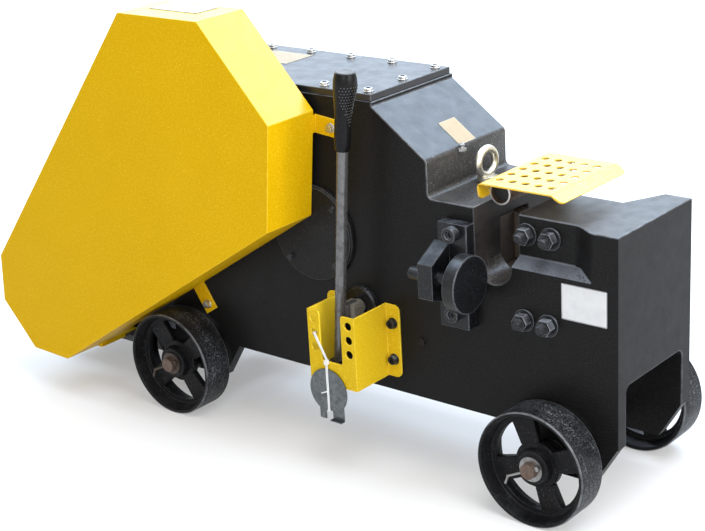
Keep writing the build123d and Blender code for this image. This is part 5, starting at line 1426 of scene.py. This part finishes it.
@dataclass
class RunningGear(SubAssembly):
    """Axles, cast wheels, washers and split pins; the wheel's sizes are in millimetres."""

    spoke_deg: dict[str, float] = field(default_factory=lambda: {
        "wheel_front_near": 20.0, "wheel_front_far": 20.0, "wheel_rear_near": 39.0, "wheel_rear_far": 39.0})
    rim: tuple[Span, ...] = (
        (75.5, 22.5), (79.5, 22.5), (81.2, 22.0), (82.4, 20.5), (86.2, 2.0), (87.0, 0.6), (88.4, 0.0),
        (90.8, 0.0), (92.3, 0.8), (93.0, 2.4), (93.0, 55.6), (92.3, 57.2), (90.8, 58.0), (88.4, 58.0),
        (87.0, 57.4), (86.2, 56.0), (82.4, 37.5), (81.2, 36.0), (79.5, 35.5), (75.5, 35.5), (74.0, 34.0),
        (74.0, 24.0))
    hub: tuple[Span, ...] = (
        (12.8, -3.0), (26.5, -3.0), (28.0, -1.5), (28.0, 19.5), (29.2, 21.8), (31.5, 22.5), (36.6, 22.5),
        (38.0, 24.0), (38.0, 34.0), (36.6, 35.5), (31.5, 35.5), (29.2, 36.2), (28.0, 38.5), (28.0, 48.5),
        (26.5, 50.0), (12.8, 50.0))
    tread_r: float = 92.0
    lip_r: Span = (91.2, 92.9)
    spoke_count: int = 4
    spoke_inner: float = 34.0
    spoke_outer: float = 78.0
    spoke_root: float = 34.0
    spoke_tip: float = 41.0
    spoke_low: float = 22.9
    spoke_high: float = 35.1
    spoke_edge: float = 2.0

    def build(self) -> None:
        """Make the wheels and dress what holds them."""
        for wheel, turn in self.spoke_deg.items():
            self.add_wheel(wheel, turn)
        self.dress("axles", 0.5 * MM, AXLE_STEEL)
        self.dress("wheel_washers", 0.5 * MM, WASHER_ZINC, RUSTED_ZINC, skin=self.at_rear)
        self.dress("cotter_pins", 0.4 * MM, WASHER_ZINC, RUSTED_ZINC, skin=self.at_rear)

    def at_rear(self, face: Face) -> int:
        """1 on the rear axle, where the zinc has rusted, and 0 on the front one."""
        return int(face.calc_center_median().x < 0.0)

    def add_wheel(self, node: str, turn_deg: float) -> None:
        """Cast wheel: turned rim and hub joined by broad spokes.

        Args:
            node: the wheel's node.
            turn_deg: turn of the first spoke about the axle.
        """
        low, high = (Vector(corner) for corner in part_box(node))
        facing = Facing.FRONT if low.y < 0.0 else Facing.BACK
        start = high.y if facing is Facing.FRONT else low.y
        sense = 1.0 if facing is Facing.FRONT else -1.0
        rim = lathe(in_metres(self.rim), steps=96, ring=True)
        hub = lathe(in_metres(self.hub), steps=64, ring=True)
        step = 360.0 / self.spoke_count
        spokes = [self.spoke(sense * turn_deg + step * i) for i in range(self.spoke_count)]
        shape = joined([rim, hub, *spokes])
        self.mark(shape)
        foot = Vector(((low.x + high.x) / 2, start, (low.z + high.z) / 2))
        foot -= facing.way * (self.hub[0][1] * MM)
        self.stand_in(node, placed(shape, foot, facing.way), WHEEL_BLACK)

    def spoke(self, turn_deg: float) -> Shape:
        """One broad spoke, wider at the rim, turned about the axle.

        Args:
            turn_deg: its turn about the axle.

        Returns:
            The spoke's mesh.
        """
        shape = bmesh.new()
        bmesh.ops.create_cube(shape, size=1.0)
        for vert in shape.verts:
            outer = vert.co.x > 0.0
            width = self.spoke_tip if outer else self.spoke_root
            reach = self.spoke_outer if outer else self.spoke_inner
            height = self.spoke_high if vert.co.z > 0.0 else self.spoke_low
            vert.co = Vector((reach, vert.co.y * width, height)) * MM
        soften(shape, self.spoke_edge * MM, segments=3)
        turn = Matrix.Rotation(math.radians(turn_deg), 3, "Z")
        bmesh.ops.rotate(shape, verts=shape.verts, cent=(0.0, 0.0, 0.0), matrix=turn)
        return shape

    def mark(self, shape: Shape) -> None:
        """Mark the tread, and the lips, which take the rubbed-edge colour as a painted highlight.

        Args:
            shape: the wheel's mesh.
        """
        tread = shape.faces.layers.float.new("tread")
        edge_mark = shape.faces.layers.float.get("edge_wear_and_highlight") or shape.faces.layers.float.new("edge_wear_and_highlight")
        for face in shape.faces:
            spot = face.calc_center_median()
            reach = math.hypot(spot.x, spot.y) / MM
            face[tread] = 1.0 if reach > self.tread_r else 0.0
            face[edge_mark] = 1.0 if self.lip_r[0] < reach < self.lip_r[1] else 0.0


@dataclass
class Jaw(SubAssembly):
    """Studs, nuts and washers of the fixed jaw."""

    pitch: float = 2.0 * MM
    turns: int = 7
    chamfer: float = 1.3 * MM
    root_share: float = 0.6
    lead_share: float = 0.6

    def build(self) -> None:
        """Make the threaded studs and dress their nuts and washers."""
        studs = [shape for low, high in solids_of("jaw_studs") for shape in self.stud(low, high)]
        self.stand_in("jaw_studs", joined(studs), BLACK_STEEL)
        self.dress("jaw_nuts", 1.0 * MM, BLACK_STEEL, segments=3)
        self.dress("jaw_washers", 0.5 * MM, BLACK_STEEL)

    def stud(self, low: Vector, high: Vector) -> list[Shape]:
        """One stud in the box of its plain rod.

        Args:
            low: lowest corner of the rod's box.
            high: highest corner of it.

        Returns:
            The turned rod and the ridge of the thread at each end.
        """
        radius, length = (high.x - low.x) / 2, high.y - low.y
        root, cut = radius - self.root_share * self.pitch, (self.turns + 0.5) * self.pitch
        rod = lathe([
            (0.0, 0.0), (root - self.chamfer, 0.0), (root, self.chamfer), (root, cut), (radius, cut + MM),
            (radius, length - cut - MM), (root, length - cut), (root, length - self.chamfer),
            (root - self.chamfer, length), (0.0, length)], steps=32)
        x, z = (low.x + high.x) / 2, (low.z + high.z) / 2
        front, back = Vector((x, low.y, z)), Vector((x, high.y, z))
        ridges = []
        for end, facing in ((front, Facing.BACK), (back, Facing.FRONT)):
            ridge = screw_ridge(radius, self.pitch, self.turns)
            bmesh.ops.translate(ridge, verts=ridge.verts, vec=(0.0, 0.0, self.lead_share * self.chamfer))
            ridges.append(placed(ridge, end, facing.way))
        return [placed(rod, front, Facing.BACK.way), *ridges]


@dataclass
class CutterGuard(SubAssembly):
    """Hinged perforated guard over the throat, the lifting eye and the grease fitting."""

    tube_x: float = 0.394
    tube_z: float = 0.480
    tube_r: float = 0.0192
    tube_front_y: float = -0.066
    lip_x: float = 0.510
    lip_y: float = 0.084
    skirt_y: float = 0.0915
    skirt_z: float = 0.482
    corner_r: float = 6.0 * MM
    edge: float = 0.6 * MM
    sheet_most: float = 8.0 * MM
    level_most: float = 1.5 * MM
    end_tilt: float = -0.6
    hinge_head: BoltHead = BoltHead(HeadKind.HEXAGON, 9.0 * MM, 1.4 * MM, 7.6 * MM, 7.0 * MM)
    neck: tuple[Span, ...] = (
        (0.0, 0.3), (0.52, 0.3), (0.40, 0.50), (0.40, 0.62), (0.62, 0.72), (0.66, 0.80), (0.50, 0.92),
        (0.20, 1.0), (0.0, 1.0))
    nipple_flange: float = 0.8
    nipple_seat: float = 0.1
    nipple_foot: float = 0.4

    def skin_of(self, face: Face) -> int:
        """Number of the finish on a face: sheet, hinge tube or the tube's cut front end.

        Args:
            face: the face.

        Returns:
            One of the guard's skins.
        """
        if any(math.hypot(v.co.x - self.tube_x, v.co.z - self.tube_z) >= self.tube_r for v in face.verts):
            return FlapSkin.SHEET
        at_front = face.calc_center_median().y < self.tube_front_y + MM
        return FlapSkin.TUBE_END if face.normal.y < self.end_tilt and at_front else FlapSkin.TUBE

    def sheet_corner(self, edge: Edge) -> bool:
        """Whether an edge is a short one through the sheet at the end of its lip or of its skirt.

        Args:
            edge: the edge.

        Returns:
            True on such an edge.
        """
        ends = [vert.co for vert in edge.verts]
        lip = all(end.x > self.lip_x and abs(end.y) > self.lip_y for end in ends)
        skirt = all(end.z < self.skirt_z and abs(end.y) > self.skirt_y for end in ends)
        level = abs(ends[0].y - ends[1].y) < self.level_most
        return (lip or skirt) and edge.calc_length() < self.sheet_most and level

    def build(self) -> None:
        """Dress the guard, its hinge, the eye and the grease fitting."""
        shape = merged_copy("cutter_guard")
        soften(shape, self.corner_r, segments=5, where=self.sheet_corner, tight=True, marks_rub_and_highlight=False)
        soften(shape, self.edge)
        self.stand_in("cutter_guard", shape, FLAP_YELLOW, TUBE_STEEL, TUBE_END, skin=self.skin_of)
        self.dress("guard_hinge", 0.8 * MM, FITTING_BLACK)
        self.bolts("hinge_bolts", self.hinge_head, BLACK_STEEL)
        self.dress("eye_bolt", 0.8 * MM, EYE_ZINC)
        self.add_nipple()

    def add_nipple(self) -> None:
        """Grease fitting: hexagon foot, waisted neck and ball."""
        low, high = (Vector(corner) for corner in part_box("grease_nipple"))
        foot, tall = Vector(((low.x + high.x) / 2, (low.y + high.y) / 2, low.z)), high.z - low.z
        wide = (high.x - low.x) / 2
        neck = lathe([(r * wide, z * tall) for r, z in self.neck], steps=20)
        base = BoltHead(
            HeadKind.HEXAGON, self.nipple_flange * wide, self.nipple_seat * tall, wide,
            self.nipple_foot * tall)
        shape = joined([neck, base.build()])
        self.stand_in("grease_nipple", placed(shape, foot, Facing.UP.way), WASHER_ZINC)


@dataclass
class ClutchControl(SubAssembly):
    """Hand lever with its studded grip, the bracket and the trip pin."""

    stud_r: float = 1.5 * MM
    stud_height: float = 0.75
    stud_gap: float = 4.6 * MM
    patch_low: float = 0.34
    patch_high: float = 0.84
    patch_half_deg: float = 80.0
    patch_start: float = 0.12
    patch_growth: float = 3.2
    cap: tuple[Span, ...] = (
        (0.0, -1.0), (13.0, -1.0), (13.8, 0.0), (13.8, 0.7), (12.9, 1.5), (10.8, 1.5), (10.2, 1.0),
        (0.0, 1.0))
    top_tilt: float = 0.9
    inner_tilt: float = 0.7
    grip_r: float = 17.0 * MM
    grip_reach: float = 0.06
    grip_length: float = 0.124
    head: BoltHead = BoltHead(HeadKind.SOCKET, 9.2 * MM, 2.0 * MM, 7.6 * MM, 9.0 * MM)

    def build(self) -> None:
        """Dress the lever and its fittings."""
        self.dress("clutch_lever", 0.6 * MM, LEVER_ZINC)
        self.dress("lever_grip", 1.6 * MM, GRIP_RUBBER, segments=3)
        self.stud_grip()
        self.dress("lever_pivot", 0.8 * MM, FITTING_BLACK)
        self.dress("trip_pin", 0.3 * MM, PIN_STEEL)
        self.dress("link_pin", 0.4 * MM, PIN_STEEL)
        self.dress("trip_flange", 1.2 * MM, STOP_BLACK)
        self.dress("lever_bracket", 0.8 * MM, BRACKET_YELLOW, BRACKET_LIT_WALL_YELLOW, skin=self.painted_light_wall())
        self.bolts("bracket_bolts", self.head, BLACK_STEEL)
        self.dress("spare_plate", 0.4 * MM, GALVANISED)
        self.dress("cable_tie", 0.3 * MM, TIE_NYLON)

    def painted_light_wall(self) -> Skin:
        """Tell the bracket's inner wall, which gets a lighter copy of the yellow as painted light bounced off
        the other wall, from its other faces.

        Returns:
            A function of a face that gives 1 on that wall and 0 elsewhere.
        """
        low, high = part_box("lever_bracket")
        middle = (low[0] + high[0]) / 2
        return lambda face: int(face.normal.x > self.inner_tilt and face.calc_center_median().x < middle)

    def stud_grip(self) -> None:
        """Raised studs on the palm side of the grip and a pale cap on its top."""
        shape = merged_copy("lever_grip")
        tops = [face for face in shape.faces if face.normal.z > self.top_tilt]
        top = max(tops, key=lambda face: face.calc_area())
        way, high = top.normal.copy(), top.calc_center_bounds()
        low = high - way * self.grip_length
        skin = BVHTree.FromBMesh(shape)
        shape.free()
        dots = bmesh.new()
        rows = int(self.grip_length * (self.patch_high - self.patch_low) / self.stud_gap)
        for row in range(rows + 1):
            share = self.patch_low + (self.patch_high - self.patch_low) * row / rows
            wide = min(1.0, self.patch_start + self.patch_growth * (share - self.patch_low))
            self.stud_row(dots, skin, low.lerp(high, share), way, wide, row % 2)
        add_piece("grip_studs", dots, body_of("lever_grip"), STUD_RUBBER)
        cap = lathe(in_metres(self.cap))
        add_piece("grip_cap", placed(cap, high, way), body_of("lever_grip"), CAP_RUBBER)

    def stud_row(self, dots: Shape, skin: BVHTree, middle: Vector, way: Vector, share: float,
                 odd: int) -> None:
        """Set one row of studs round the grip.

        Args:
            dots: mesh that takes the studs.
            skin: the grip's surface.
            middle: point of the grip's axis at this row.
            way: direction of the axis.
            share: how much of the patch's width the row has.
            odd: 1 where the row is set off by half a gap.
        """
        half = math.radians(self.patch_half_deg) * share
        step = self.stud_gap / self.grip_r
        count = int(half / step)
        for place in range(-count, count + 1):
            turn = (place + 0.5 * odd) * step
            out = Matrix.Rotation(turn, 3, way) @ Vector((1.0, 0.0, 0.0))
            out = (out - out.dot(way) * way).normalized()
            point, normal, _, _ = skin.ray_cast(middle + self.grip_reach * out, -out)
            if point is None:
                continue
            stand = Facing.UP.way.rotation_difference(normal).to_matrix().to_4x4()
            flat = Matrix.Diagonal((1.0, 1.0, self.stud_height, 1.0))
            bmesh.ops.create_icosphere(
                dots, subdivisions=1, radius=self.stud_r, matrix=Matrix.Translation(point) @ stand @ flat)


class BarStop(SubAssembly):
    """Adjustable bar stop beside the throat."""

    def build(self) -> None:
        """Dress the stop's bracket, screws and spindle."""
        self.dress("stop_bracket", 1.4 * MM, STOP_BLACK, segments=3)
        self.dress("stop_screws", 0.9 * MM, BLACK_STEEL, segments=3)
        self.dress("stop_spindle", 2.0 * MM, STOP_BLACK, segments=3)


def main() -> None:
    """Build the studio and the machine's sub-assemblies in order."""
    logging.basicConfig(level=logging.INFO, format="%(name)s %(message)s")
    Studio().build()
    for part in (Casting(), TopCover(), BeltGuard(), Drive(), Motor(), RunningGear(), Jaw(), CutterGuard(),
                 ClutchControl(), BarStop()):
        LOG.info("building %s", type(part).__name__)
        part.build()


if __name__ == "__main__":
    main()
